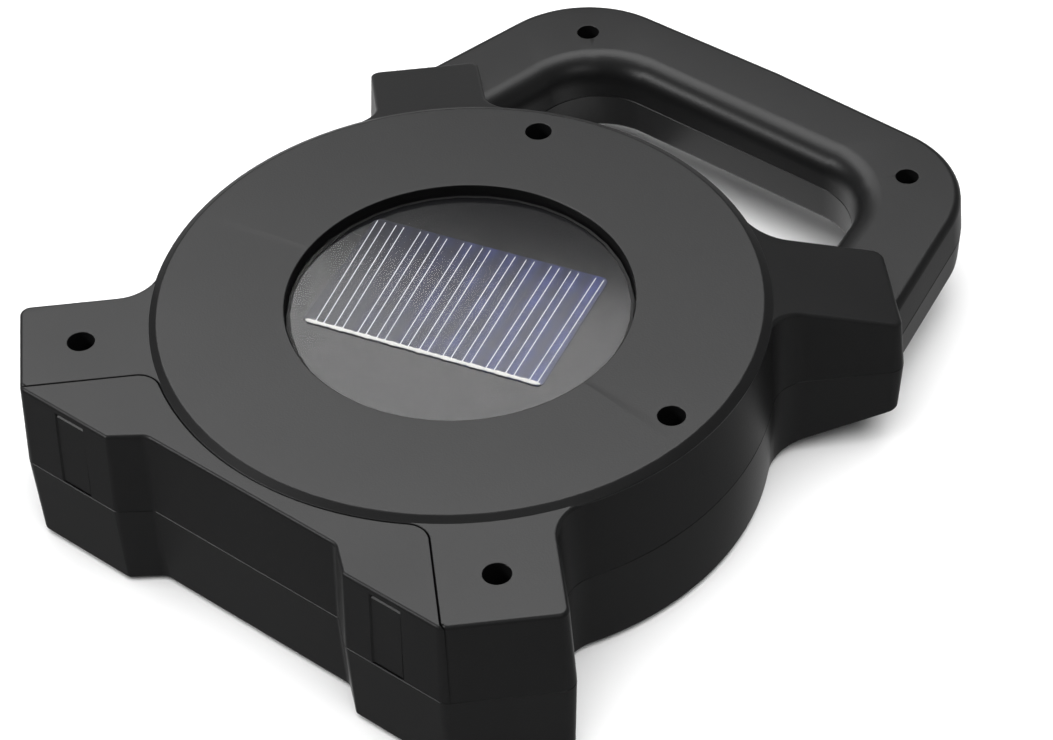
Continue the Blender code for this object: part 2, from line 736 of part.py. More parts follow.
def make_controls(finish):
    board = bmesh.new()
    low = CONTROL_BOARD_Z
    add_box(board, (-0.0145, 0.0365, low), (0.0200, 0.0555, low + 0.0016))
    made = solid("control_board", board, finish["board"])
    holes = bmesh.new()
    for x, y in BOARD_SCREWS:
        add_rod(holes, x, y, 0.0014, low - 0.001, low + 0.003, 12)
    cut(made, holes, "hole")
    top = low + 0.0016 + GAP
    usb = bmesh.new()
    add_box(usb, (-0.01155, 0.0450, top), (0.00155, 0.0590, top + 0.0057))
    made = solid("usb_output_socket", usb, finish["steel"])
    mouth = bmesh.new()
    add_box(mouth, (-0.01105, 0.0490, top + 0.0005), (0.00105, 0.0600, top + 0.0052))
    cut(made, mouth, "mouth")
    tongue = bmesh.new()
    add_box(tongue, (-0.0100, 0.0485, top + 0.0030), (0.0000, 0.0580, top + 0.0046))
    join(made, tongue, "tongue")
    charge = bmesh.new()
    add_box(charge, (0.0046, 0.0535, top), (0.0124, 0.0590, top + 0.0027))
    made = solid("charge_socket", charge, finish["steel"])
    mouth = bmesh.new()
    add_box(mouth, (0.0050, 0.0550, top + 0.0004), (0.0120, 0.0600, top + 0.0023))
    cut(made, mouth, "mouth")
    coil = bmesh.new()
    add_turned(
        coil,
        [(0.0008, top), (0.0040, top), (0.0040, top + 0.0040), (0.0008, top + 0.0040)],
        Matrix.Translation((0.0085, 0.0460, 0)),
        16,
    )
    solid("boost_inductor", coil, finish["chip"])
    chip = bmesh.new()
    add_box(chip, (-0.0045, 0.0375, top), (0.0015, 0.0425, top + 0.0012))
    solid("charge_chip", chip, finish["chip"])

    flap = bmesh.new()
    spread = math.degrees(math.asin(FLAP_HALF_X / BODY_R))
    inner = PORT_FLOOR_Y + GAP
    face = arc((0, 0), BODY_R - 0.0003, 90 - spread, 90 + spread, 8)
    add_prism(flap, [(-FLAP_HALF_X, inner), (FLAP_HALF_X, inner)] + face, *FLAP_Z)
    solid("port_flap", flap, finish["rubber"], (0, BODY_R - 0.0001, FLAP_Z[0]))

    sideways = Matrix.Translation((0, 0, BUTTON_Z)) @ Matrix.Rotation(math.radians(-90), 4, "Y")
    button = bmesh.new()
    add_turned(
        button,
        [
            (0, 0.0578),
            (0.0068, 0.0578),
            (0.0068, 0.0590),
            (BUTTON_R, 0.0590),
            (BUTTON_R, 0.0632),
            (BUTTON_R - 0.0006, 0.0638),
            (0, 0.0638),
        ],
        sideways,
        28,
    )
    solid("power_button", button, finish["rubber"], (-0.0600, 0, BUTTON_Z))
    switch = bmesh.new()
    add_box(switch, (-0.0560, -0.0030, BUTTON_Z - 0.0030), (-0.0524, 0.0030, BUTTON_Z + 0.0030))
    made = solid("power_switch", switch, finish["chip"])
    stem = bmesh.new()
    add_turned(stem, [(0, 0.0555), (0.0017, 0.0555), (0.0017, 0.0567), (0, 0.0567)], sideways, 16)
    join(made, stem, "stem")
    plate = bmesh.new()
    add_box(plate, (-0.0521, -0.0090, 0.0215), (-0.0507, 0.0090, 0.0360))
    solid("switch_board", plate, finish["board"])


def make_battery(finish):
    half = BATTERY_LENGTH / 2
    along = Matrix.Translation((0, BATTERY_Y, BATTERY_Z)) @ Matrix.Rotation(math.radians(90), 4, "Y")
    cell = bmesh.new()
    add_turned(
        cell,
        [
            (0, -half),
            (BATTERY_R - 0.0006, -half),
            (BATTERY_R, -half + 0.0006),
            (BATTERY_R, half - 0.0026),
            (BATTERY_R - 0.0010, half - 0.0016),
            (0.0035, half - 0.0016),
            (0.0035, half),
            (0, half),
        ],
        along,
        32,
    )
    solid("battery_cell", cell, finish["wrap"])
    tray = bmesh.new()
    bed = BATTERY_Z - BATTERY_R - GAP
    add_box(tray, (-0.0385, -0.0590, bed - 0.0020), (0.0385, -0.0410, bed))
    made = solid("battery_tray", tray, finish["chip"])
    for side, label in ((-1, "left"), (1, "right")):
        wall = bmesh.new()
        low, high = sorted((side * 0.0365, side * 0.0385))
        add_box(wall, (low, -0.0570, COLLAR_TOP + GAP), (high, -0.0430, 0.0340))
        join(made, wall, label)
    contact = bmesh.new()
    add_box(contact, (0.0357, -0.0550, 0.0220), (0.0362, -0.0450, 0.0335))
    made = solid("battery_contact", contact, finish["steel"])
    nub = bmesh.new()
    add_turned(nub, [(0, 0.0329), (0.0025, 0.0329), (0.0030, 0.0359), (0, 0.0359)], along, 16)
    join(made, nub, "nub")
    make_battery_spring(finish["steel"])


def tube(name, points, radius, finish, sides):
    """A round wire through the points, as a curve with filled ends."""
    curve = bpy.data.curves.new(name, "CURVE")
    curve.dimensions = "3D"
    spline = curve.splines.new("POLY")
    spline.points.add(len(points) - 1)
    for point, place in zip(spline.points, points):
        point.co = (*place, 1)
    curve.bevel_depth = radius
    curve.bevel_resolution = sides
    curve.use_fill_caps = True
    return place_object(name, curve, finish)


def make_battery_spring(finish):
    """A conical coil between the tray's wall and the negative end of the cell."""
    turns, steps = 3, 12
    start, end = -0.0358, -0.0331
    points = []
    for i in range(turns * steps + 1):
        share = i / (turns * steps)
        angle = 2 * math.pi * turns * share
        radius = 0.0042 - 0.0020 * share
        y = BATTERY_Y + radius * math.cos(angle)
        z = BATTERY_Z + radius * math.sin(angle)
        points.append((start + (end - start) * share, y, z))
    tube("battery_spring", points, 0.0003, finish, 0)


def bend(points, steps=3):
    """A smooth path through a lead's guide points (Catmull-Rom)."""
    guides = [Vector(point) for point in points]
    guides = [2 * guides[0] - guides[1]] + guides + [2 * guides[-1] - guides[-2]]
    path = []
    for a, b, c, d in zip(guides, guides[1:], guides[2:], guides[3:]):
        for k in range(steps):
            t = k / steps
            swing = (2 * a - 5 * b + 4 * c - d) * t * t + (3 * b - a - 3 * c + d) * t**3
            path.append((2 * b + (c - a) * t + swing) / 2)
    return [tuple(point) for point in path + [guides[-2]]]


def beside(path, distance):
    """The path moved level to its left, for the second lead of a pair."""
    moved = []
    for i, point in enumerate(path):
        ahead = Vector(path[min(i + 1, len(path) - 1)]) - Vector(path[max(i - 1, 0)])
        left = Vector((-ahead.y, ahead.x, 0)).normalized()
        moved.append(tuple(Vector(point) + left * distance))
    return moved


def make_leads(finish):
    """Pairs of thin leads inside the housing, from each part to the control board."""
    top = CONTROL_BOARD_Z + 0.0016
    routes = {
        "solar_lead": [
            (0.0020, 0.0290, 0.0348),
            (0.0021, 0.0296, 0.0318),
            (0.0025, 0.0330, 0.0296),
            (0.0045, 0.0372, 0.0262),
            (0.0050, 0.0392, top + 0.0010),
        ],
        "lamp_lead": [
            (0.0178, 0.0030, 0.0171),
            (0.0300, 0.0030, 0.0171),
            (0.0395, 0.0040, 0.0171),
            (0.0445, 0.0100, 0.0195),
            (0.0455, 0.0240, 0.0235),
            (0.0330, 0.0380, 0.0260),
            (0.0235, 0.0440, 0.0250),
            (0.0190, 0.0460, top + 0.0014),
        ],
        "battery_lead": [
            (0.0408, -0.0460, 0.0240),
            (0.0435, -0.0400, 0.0250),
            (0.0455, -0.0200, 0.0270),
            (0.0465, 0.0100, 0.0280),
            (0.0380, 0.0360, 0.0290),
            (0.0250, 0.0490, 0.0280),
            (0.0190, 0.0510, top + 0.0014),
        ],
        "switch_lead": [
            (-0.0480, 0.0030, 0.0300),
            (-0.0470, 0.0080, 0.0295),
            (-0.0445, 0.0200, 0.0285),
            (-0.0330, 0.0330, 0.0275),
            (-0.0200, 0.0380, 0.0270),
            (-0.0135, 0.0375, top + 0.0014),
        ],
    }
    for name, guides in routes.items():
        path = bend(guides, 2)
        tube(f"{name}_red", path, LEAD_R, finish["red"], 0)
        tube(f"{name}_black", beside(path, LEAD_SPACING), LEAD_R, finish["black"], 0)


# ---------------------------------------------------------------- screws


def make_screw(name, place, seat, direction, radii, length, finish):
    """A pan-head screw. Its head stands on the seat and looks towards +Z or -Z."""
    x, y = place
    head_r, shank_r = radii
    head = HEAD_HEIGHT
    profile = [
        (0, GAP - length),
        (shank_r, GAP - length + shank_r),
        (shank_r, GAP),
        (head_r, GAP),
        (head_r, GAP + head * 0.6),
        (head_r * 0.6, GAP + head),
        (0, GAP + head),
    ]
    screw = bmesh.new()
    matrix = Matrix.Translation((x, y, seat)) @ Matrix.Diagonal((1, 1, direction, 1))
    add_turned(screw, profile, matrix, 10)
    solid(name, screw, finish, (x, y, seat))


def make_screws(finish):
    for name, (x, y, radius) in shell_screws().items():
        radii = (radius - GAP, 0.0014)
        seat = well_floor(name)
        length = seat - HALF + bore_depth(name) - 0.0010
        make_screw(name, (x, y), seat, 1, radii, length, finish["screw"])
    small = (0.0022, 0.0010)
    posts = [(x, y) for x in (-POST_X, POST_X) for y in (-POST_Y, POST_Y)]
    for number, place in enumerate(posts, start=1):
        make_screw(f"heat_sink_screw_{number}", place, 0.0202, 1, small, 0.0062, finish["steel"])
    for number, place in enumerate(BOARD_SCREWS, start=1):
        make_screw(f"board_screw_{number}", place, CONTROL_BOARD_Z, -1, small, 0.0014, finish["steel"])


def main():
    for item in list(bpy.data.objects):
        bpy.data.objects.remove(item, do_unlink=True)
    centre = bpy.data.objects.new("body_centre", None)
    bpy.context.scene.collection.objects.link(centre)
    centre.location = BODY_SHIFT
    finish = make_materials()
    make_back_shell(finish["shell"])
    make_front_shell(finish["shell"])
    make_battery_cover(finish["cover"])
    make_latches(finish["cover"])
    make_solar_side(finish)
    make_lamp(finish)
    make_controls(finish)
    make_battery(finish)
    make_leads(finish)
    make_screws(finish)


main()
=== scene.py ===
"""Looks of the solar flood light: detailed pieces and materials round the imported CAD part.

Plan positions are counted from the centre of the round body and heights from the front
plane of its lugs, as in the CAD part. CENTRE carries them into the frame.
"""

import math

import bmesh
import bpy
from mathutils import Matrix, Vector


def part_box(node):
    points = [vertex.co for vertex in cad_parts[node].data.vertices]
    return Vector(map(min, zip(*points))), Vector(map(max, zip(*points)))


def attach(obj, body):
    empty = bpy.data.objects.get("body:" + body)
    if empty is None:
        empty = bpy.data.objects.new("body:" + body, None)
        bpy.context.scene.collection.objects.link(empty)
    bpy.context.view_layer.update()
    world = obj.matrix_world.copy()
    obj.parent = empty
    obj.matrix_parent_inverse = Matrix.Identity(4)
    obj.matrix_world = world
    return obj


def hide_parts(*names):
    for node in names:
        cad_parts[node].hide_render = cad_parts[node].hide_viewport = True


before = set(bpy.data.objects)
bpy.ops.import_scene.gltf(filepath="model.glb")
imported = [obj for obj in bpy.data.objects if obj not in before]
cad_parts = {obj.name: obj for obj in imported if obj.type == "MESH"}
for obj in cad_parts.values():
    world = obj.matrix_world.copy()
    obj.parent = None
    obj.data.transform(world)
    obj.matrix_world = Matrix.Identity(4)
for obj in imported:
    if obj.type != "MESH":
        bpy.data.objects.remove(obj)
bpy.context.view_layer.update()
window_low, window_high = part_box("solar_window")
CENTRE = (window_low + window_high) / 2
CENTRE.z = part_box("front_shell")[0].z

# Heights, counted from the front plane of the lugs.
THICKNESS = 0.0390
HALF = THICKNESS / 2
RAISED = 0.0009
TOP = THICKNESS + RAISED
GAP = 0.0003
WALL = 0.0024
DRAFT = 0.0008
EDGE = 0.0008
GROOVE_EDGE = 0.00022
SEAM_CHAMFER = 0.00014
SEAM_CLEAR = 0.00002
HAIRLINE = 0.00006

# Plan of the body, at the seam.
BODY_R = 0.0626
DISC_R = 0.0600
DISC_FOOT_R = 0.0619
LUG_HALF_WIDTH = 0.0125
LUG_END = 0.0878
LUG_CORNER_R = 0.0030
STEP_CORNER_R = 0.0020
COVER_CORNER_R = 0.0020
HOLLOW_CORNER_R = 0.0045
ROOT_R = 0.0080
COVER_ROOT_R = 0.0040
FOOT_Y = -0.0709
MIDDLE_Y = -0.0661
STEP_INNER_X = 0.0237
STEP_OUTER_X = 0.0295
SLOPE_START = 0.0595
SLOPE_BLEND = 0.0012
SLOPE = 0.298

# Handle, at the seam.
HANDLE_TOP_Y = 0.1092
HANDLE_CORNER = (0.0543, 0.1080)
HANDLE_OUTER_END = (0.0654, 0.0560)
HANDLE_OUTER_R = 0.0240
GRIP_Y = 0.0900
GRIP_CORNER_X = 0.0371
HANDLE_INNER_END = (0.0438, 0.0500)
HANDLE_INNER_R = 0.0150
HANDLE_HALF = 0.0086
HANDLE_OUTER_EDGE = 0.0018
HANDLE_INNER_EDGE = 0.0058
HANDLE_INNER_FRONT_EDGE = 0.0010

# Solar window and its cell.
WINDOW_R = 0.0348
WINDOW_TOP = TOP - 0.0011
WINDOW_LOW = TOP - 0.0021
WINDOW_BOSS_R = 0.0395
LEDGE_R = 0.0318
LEDGE_Z = 0.0353
BOARD_R = 0.0342
BOARD_TOP = 0.0369
CELL_CENTRE = (-0.0020, 0.0012)
CELL_SIZE = (0.0518, 0.0338)
CELL_TURN = 14.75
WINDOW_GAP = 0.0006
COVER_SHIFT = (-0.00016, -0.00022)
COVER_EDGE = 0.0005
PANEL_LOW = BOARD_TOP - 0.0013
PANEL_TOP = BOARD_TOP + 0.0005
CELL_TOP = BOARD_TOP + 0.0006
CELL_CORNER_CUT = 0.0009
# Along the cell: the first finger of the first pair, each pair's step, and how much
# closer every other pair is set. The pairs fan out a little from root to tip.
FINGER_PAIRS = 11
FINGER_ROOTS = (-0.0233, 0.00462, 0.00045)
FINGER_TIPS = (-0.0252, 0.00484, 0.00065)
FINGER_WIDTHS = (0.00023, 0.00022, 0.00021, 0.00017)
FINGER_HEIGHT = 0.00004
PAIR_GAP = 0.00175
# Pitch of the bands of painted sheen on the wafer, and the middle of its last band.
SHEEN_PITCH = 0.00473
LAST_SHEEN_X = 0.0239
RIBBON_ENDS = (-0.0253, 0.0254)
RIBBON_STEPS = 90
RIBBON_HEIGHT = 0.00022

# Lamp stack.
LAMP_R = 0.0500
BEZEL_INNER_R = 0.0490
LENS_R = 0.0540
COLLAR_R = 0.0544
COLLAR_TOP = 0.0100
EMITTER_R = 0.0110
EMITTER_FACE = 0.0158
LENS_LOW = WALL + GAP
LENS_TOP = LENS_LOW + 0.0020
DISH_FLANGE = LENS_TOP + GAP + 0.0010 + GAP
DISH_FLOOR = (0.0144, 0.0152)
DISH_MOUTH_R = 0.0496
DISH_STEPS = 12

# Screws, latches, controls.
LUG_SCREW = (0.0527, -0.0533)
HANDLE_SCREW = (0.0424, 0.0952)
DISC_SCREWS = {"disc_screw_top": (-0.0201, 0.0502), "disc_screw_side": (0.0538, -0.0020)}
WELL_R = 0.0027
HANDLE_WELL_R = 0.00235
BOSS_R = 0.0045
FRONT_BOSS_R = 0.0038
BORE_R = 0.0018
WELL_FLOOR = 0.0060
LATCH_X = 0.03995
LATCH_SLOT = 0.0071
LATCH_ROOT_Z = 0.0095
LATCH_TOP_Z = 0.0370
LATCH_Y = -0.0687
LATCH_SKIN_Y = -0.0695
LATCH_SINK = 0.0003
BUTTON_Z = 0.0290
BUTTON_R = 0.0055
FLAP_HALF_X = 0.0155
FLAP_Z = (0.0212, 0.0342)
PORT_FLOOR_Y = 0.0596
SOCKET_CUTS = (((-0.01185, 0.0232), (0.00185, 0.0295)), ((0.0043, 0.0232), (0.0127, 0.0266)))
BATTERY_BAY = ((-0.0395, -0.0680, 0.0180), (0.0395, -0.0450, 0.0370))
CONTROL_BOARD_Z = 0.0216
BOARD_SCREWS = ((0.0170, 0.0410), (-0.0110, 0.0415))

ARC_STEP = 2.5
TURN_STEPS = 144
ROUND_STEPS = (0, 15, 30, 45, 60, 75, 90)


# ---------------------------------------------------------------- materials


def new_material(name):
    made = bpy.data.materials.new(name)
    made.use_nodes = True
    tree = made.node_tree
    return made, tree, tree.nodes["Principled BSDF"]


def add_node(tree, kind, **inputs):
    made = tree.nodes.new(kind)
    for key, value in inputs.items():
        made.inputs[key.replace("_", " ")].default_value = value
    return made


def noise(tree, place, scale, detail=2.0):
    made = add_node(tree, "ShaderNodeTexNoise", Scale=scale, Detail=detail)
    tree.links.new(place, made.inputs["Vector"])
    return made.outputs["Fac"]


def object_place(tree):
    return tree.nodes.new("ShaderNodeTexCoord").outputs["Object"]


def map_range(tree, value, source, target=(0.0, 1.0)):
    ends = {"From_Min": source[0], "From_Max": source[1], "To_Min": target[0], "To_Max": target[1]}
    made = add_node(tree, "ShaderNodeMapRange", **ends)
    tree.links.new(value, made.inputs["Value"])
    return made.outputs["Result"]


def spread(tree, value, low, high):
    """The noise's middle range, stretched to low..high."""
    return map_range(tree, value, (0.3, 0.7), (low, high))


def blend_colours(tree, share, first, second):
    made = tree.nodes.new("ShaderNodeMix")
    made.data_type = "RGBA"
    for socket, colour in ((6, first), (7, second)):
        if isinstance(colour, tuple):
            made.inputs[socket].default_value = (*colour, 1.0)
        else:
            tree.links.new(colour, made.inputs[socket])
    tree.links.new(share, made.inputs[0])
    return made.outputs[2]


def blend_base(tree, shader, share, first, second):
    tree.links.new(blend_colours(tree, share, first, second), shader.inputs["Base Color"])


def math_node(tree, operation, first, second=0.0):
    made = tree.nodes.new("ShaderNodeMath")
    made.operation = operation
    for socket, value in enumerate((first, second)):
        if isinstance(value, (int, float)):
            made.inputs[socket].default_value = value
        else:
            tree.links.new(value, made.inputs[socket])
    return made.outputs[0]


def surface(name, colour, rough, grain=1500.0, bump=0.00002, vary=0.12, patch=60.0, **sockets):
    """A finish with a fine grain in its height, and slow changes of colour and gloss."""
    made, tree, shader = new_material(name)
    place = object_place(tree)
    patches = noise(tree, place, patch, 3.0)
    fine = noise(tree, place, grain, 2.0)
    darker = tuple(part * (1 - vary) for part in colour)
    lighter = tuple(min(1.0, part * (1 + vary)) for part in colour)
    fine_part = math_node(tree, "MULTIPLY", fine, 0.4)
    mottle = math_node(tree, "ADD", math_node(tree, "MULTIPLY", patches, 0.6), fine_part)
    blend_base(tree, shader, spread(tree, mottle, 0.0, 1.0), darker, lighter)
    tree.links.new(spread(tree, mottle, rough * 0.93, rough * 1.07), shader.inputs["Roughness"])
    relief = add_node(tree, "ShaderNodeBump", Strength=1.0, Distance=bump)
    tree.links.new(fine, relief.inputs["Height"])
    tree.links.new(relief.outputs["Normal"], shader.inputs["Normal"])
    for key, value in sockets.items():
        shader.inputs[key.replace("_", " ")].default_value = value
    return made


def wafer_material():
    """Dark silicon, with a blue sheen painted into its colour in bands that grow towards one end: a painted
    reflection.
    """
    made, tree, shader = new_material("silicon_wafer")
    place = object_place(tree)
    turned = add_node(tree, "ShaderNodeMapping")
    turned.vector_type = "TEXTURE"
    middle = CENTRE.x + CELL_CENTRE[0], CENTRE.y + CELL_CENTRE[1]
    turned.inputs["Location"].default_value = (*middle, 0.0)
    turned.inputs["Rotation"].default_value = (0.0, 0.0, math.radians(CELL_TURN))
    tree.links.new(place, turned.inputs["Vector"])
    axes = tree.nodes.new("ShaderNodeSeparateXYZ")
    tree.links.new(turned.outputs["Vector"], axes.inputs["Vector"])
    along = map_range(tree, axes.outputs["X"], (-0.022, 0.024))
    # The painted sheen lies in bands between the two fingers of each pair.
    from_last = math_node(tree, "SUBTRACT", axes.outputs["X"], LAST_SHEEN_X)
    phase = math_node(tree, "MULTIPLY", from_last, 2 * math.pi / SHEEN_PITCH)
    wave = math_node(tree, "MULTIPLY", math_node(tree, "COSINE", phase), 0.30)
    band = math_node(tree, "ADD", wave, 0.62)
    cloud = noise(tree, place, 160.0, 3.0)
    grain = noise(tree, place, 2600.0, 2.0)
    # The share of painted blue sheen grows along the cell towards one end.
    share = math_node(tree, "MULTIPLY", math_node(tree, "MULTIPLY", band, cloud), along)
    share = math_node(tree, "ADD", math_node(tree, "MULTIPLY", share, 1.7), 0.06)
    # Blues of the painted sheen, varied by the noise.
    painted_sheen = blend_colours(tree, cloud, (0.040, 0.052, 0.170), (0.060, 0.080, 0.300))
    blend_base(tree, shader, share, (0.012, 0.012, 0.013), painted_sheen)
    tree.links.new(spread(tree, grain, 0.11, 0.12), shader.inputs["Roughness"])
    shader.inputs["Specular IOR Level"].default_value = 0.43
    return made


def board_material():
    """Green solder mask with paler copper tracks under it."""
    made, tree, shader = new_material("circuit_board")
    place = object_place(tree)
    tracks = tree.nodes.new("ShaderNodeTexBrick")
    tracks.inputs["Scale"].default_value = 420.0
    tracks.inputs["Color1"].default_value = (0.012, 0.120, 0.045, 1)
    tracks.inputs["Color2"].default_value = (0.016, 0.150, 0.058, 1)
    tracks.inputs["Mortar"].default_value = (0.050, 0.250, 0.100, 1)
    tracks.inputs["Mortar Size"].default_value = 0.06
    tree.links.new(place, tracks.inputs["Vector"])
    tree.links.new(tracks.outputs["Color"], shader.inputs["Base Color"])
    tree.links.new(spread(tree, noise(tree, place, 900.0), 0.28, 0.42), shader.inputs["Roughness"])
    relief = add_node(tree, "ShaderNodeBump", Strength=0.6, Distance=0.00003)
    tree.links.new(tracks.outputs["Fac"], relief.inputs["Height"])
    tree.links.new(relief.outputs["Normal"], shader.inputs["Normal"])
    return made


def reflector_material():
    """Metallised plastic with the shallow dimples of an orange-peel reflector."""
    made, tree, shader = new_material("metallised_reflector")
    place = object_place(tree)
    cells = tree.nodes.new("ShaderNodeTexVoronoi")
    cells.feature = "SMOOTH_F1"
    cells.inputs["Scale"].default_value = 420.0
    tree.links.new(place, cells.inputs["Vector"])
    relief = add_node(tree, "ShaderNodeBump", Strength=1.0, Distance=0.00035)
    tree.links.new(cells.outputs["Distance"], relief.inputs["Height"])
    tree.links.new(relief.outputs["Normal"], shader.inputs["Normal"])
    tree.links.new(spread(tree, noise(tree, place, 90.0), 0.10, 0.17), shader.inputs["Roughness"])
    share = spread(tree, noise(tree, place, 60.0), 0.0, 1.0)
    blend_base(tree, shader, share, (0.80, 0.80, 0.82), (0.88, 0.88, 0.89))
    shader.inputs["Metallic"].default_value = 1.0
    return made


def make_finishes():
    shell_black, cover_black = (0.0105, 0.0105, 0.0108), (0.0102, 0.0102, 0.0105)
    moulded = {"grain": 2200.0, "bump": 0.000018, "vary": 0.10, "patch": 45.0, "Specular_IOR_Level": 0.30}
    return {
        "shell": surface("black_abs", shell_black, 0.37, **moulded),
        "cover": surface("black_abs_cover", cover_black, 0.38, **moulded),
        "bezel": surface("gloss_black_bezel", (0.010, 0.010, 0.011), 0.16, 900.0, 0.000004, 0.10),
        "rubber": surface("black_rubber", (0.016, 0.016, 0.016), 0.72, 1500.0, 0.00004, 0.18),
        "clear": surface(
            "clear_cover", (0.006, 0.006, 0.008), 0.055, 900.0, 0.0, 0.05, 70.0, Alpha=0.06, IOR=1.45
        ),
        "lens": surface("clear_lens", (0.16, 0.165, 0.17), 0.05, 900.0, 0.0, 0.03, 70.0, Alpha=0.08, IOR=1.9),
        "panel": surface(
            "panel_back", (0.010, 0.010, 0.011), 0.11, 2200.0, 0.0, 0.08, 90.0, Specular_IOR_Level=0.43
        ),
        "cell": wafer_material(),
        "silver": surface("printed_silver", (0.84, 0.85, 0.92), 0.50, 4000.0, 0.000002, 0.08, 900.0),
        "solder": surface("tinned_ribbon", (0.93, 0.93, 0.90), 0.38, 1100.0, 0.00005, 0.06, 500.0),
        "mirror": reflector_material(),
        "phosphor": surface("phosphor", (0.86, 0.60, 0.08), 0.50, 3000.0, 0.00003, 0.08, 400.0),
        "aluminium": surface(
            "aluminium", (0.70, 0.71, 0.72), 0.36, 1800.0, 0.00002, 0.06, 120.0, Metallic=1.0
        ),
        "board": board_material(),
        "steel": surface("zinc_steel", (0.56, 0.56, 0.57), 0.32, 2500.0, 0.00001, 0.08, 300.0, Metallic=1.0),
        "screw": surface(
            "black_screw", (0.035, 0.035, 0.037), 0.38, 2500.0, 0.00002, 0.15, 300.0, Metallic=0.6
        ),
        "wrap": surface(
            "battery_wrap", (0.03, 0.16, 0.36), 0.28, 800.0, 0.00002, 0.08, 80.0, Coat_Weight=0.5
        ),
        "chip": surface("chip_black", (0.020, 0.020, 0.022), 0.50, 2600.0, 0.00003, 0.12, 200.0),
        "red": surface("lead_red", (0.50, 0.020, 0.020), 0.38, 1500.0, 0.00001, 0.10, 200.0),
        "black": surface("lead_black", (0.018, 0.018, 0.018), 0.38, 1500.0, 0.00001, 0.10, 200.0),
    }


# ---------------------------------------------------------------- outlines


def arc(centre, radius, start, end, steps):
    """Points on an arc from one angle to the other, in degrees, both ends included."""
    points = []
    for i in range(steps + 1):
        angle = math.radians(start + (end - start) * i / steps)
        points.append((centre[0] + radius * math.cos(angle), centre[1] + radius * math.sin(angle)))
    return points


def cos_sin(degrees):
    return math.cos(math.radians(degrees)), math.sin(math.radians(degrees))


def turned_plan(points, degrees):
    cos, sin = cos_sin(degrees)
    return [(x * cos - y * sin, x * sin + y * cos) for x, y in points]


def rounded(before, corners, after, steps=8):
    """A chain of straight sides whose corners (point, radius) are arcs."""
    chain = [before] + [point for point, _ in corners] + [after]
    points = []
    for i, (corner, radius) in enumerate(corners, start=1):
        here = Vector(corner)
        back = (Vector(chain[i - 1]) - here).normalized()
        ahead = (Vector(chain[i + 1]) - here).normalized()
        if radius == 0:
            points.append(tuple(here))
            continue
        half = back.angle(ahead) / 2
        centre = here + (back + ahead).normalized() * radius / math.sin(half)
        first = here + back * radius / math.tan(half) - centre
        last = here + ahead * radius / math.tan(half) - centre
        for k in range(steps + 1):
            swing = first.lerp(last, k / steps).normalized() * radius
            points.append(tuple(centre + swing))
    return points


def inset(outline, amounts):
    """The closed outline moved inwards, by one amount or by one for each point."""
    if not isinstance(amounts, list):
        amounts = [amounts] * len(outline)
    moved = []
    for i, (x, y) in enumerate(outline):
        before = Vector(outline[i - 1])
        here = Vector((x, y))
        after = Vector(outline[(i + 1) % len(outline)])
        first = (here - before).normalized()
        second = (after - here).normalized()
        normal_1 = Vector((-first.y, first.x))
        normal_2 = Vector((-second.y, second.x))
        mitre = (normal_1 + normal_2) / (1 + normal_1.dot(normal_2))
        moved.append(tuple(here + mitre * amounts[i]))
    return moved


def root_angle(radius):
    """Angle from a lug's middle line to where its root fillet meets the round body."""
    return math.degrees(math.asin((LUG_HALF_WIDTH + radius) / (BODY_R + radius)))


def root_fillet(direction, side, radius, steps=10):
    across = LUG_HALF_WIDTH + radius
    along = math.sqrt((BODY_R + radius) ** 2 - across**2)
    to_body = 180 - root_angle(radius)
    if side < 0:
        points = arc((along, -across), radius, to_body, 90, steps)
    else:
        points = arc((along, across), radius, -90, -to_body, steps)
    return turned_plan(points, direction)


def lug_corner(direction, side, radius, steps=8):
    centre = (LUG_END - radius, side * (LUG_HALF_WIDTH - radius))
    start = -90 if side < 0 else 0
    return turned_plan(arc(centre, radius, start, start + 90, steps), direction)


def body_arc(start, end):
    steps = max(2, round((end - start) / ARC_STEP))
    return arc((0, 0), BODY_R, start, end, steps)[1:-1]


def mirrored(right):
    """A closed outline from its right side, listed from the bottom to the top."""
    left = [(-x, y) for x, y in reversed(right) if x > 1e-6]
    return right + left


def upper_right_side(corner):
    turn = root_angle(ROOT_R)
    points = lug_corner(-45, 1, corner) + root_fillet(-45, 1, ROOT_R)
    points += body_arc(-45 + turn, 45 - turn)
    points += root_fillet(45, -1, ROOT_R)
    points += lug_corner(45, -1, corner) + lug_corner(45, 1, corner)
    points += root_fillet(45, 1, ROOT_R)
    points += body_arc(45 + turn, 90) + [(0.0, BODY_R)]
    return points


def body_outline(hollow=False):
    """The whole body: round, with four lugs, and two feet between the lower ones."""
    corner = HOLLOW_CORNER_R if hollow else LUG_CORNER_R
    tip_middle = turned_plan([(LUG_END, 0.0)], -45)[0]
    foot_corner = (LUG_END * math.sqrt(2) + FOOT_Y, FOOT_Y)
    feet = [
        ((STEP_INNER_X, MIDDLE_Y), STEP_CORNER_R),
        ((STEP_OUTER_X, FOOT_Y), HOLLOW_CORNER_R if hollow else STEP_CORNER_R),
        (foot_corner, corner),
    ]
    return mirrored(rounded((0.0, MIDDLE_Y), feet, tip_middle) + upper_right_side(corner))


def back_outline(hollow=False):
    """The body without its feet: the lower lugs run back to the round body."""
    corner = HOLLOW_CORNER_R if hollow else LUG_CORNER_R
    cover_corner = HOLLOW_CORNER_R if hollow else COVER_CORNER_R
    turn = root_angle(COVER_ROOT_R)
    points = [(0.0, -BODY_R)] + body_arc(-90, -45 - turn)
    points += root_fillet(-45, -1, COVER_ROOT_R) + lug_corner(-45, -1, cover_corner)
    return mirrored(points + upper_right_side(corner))


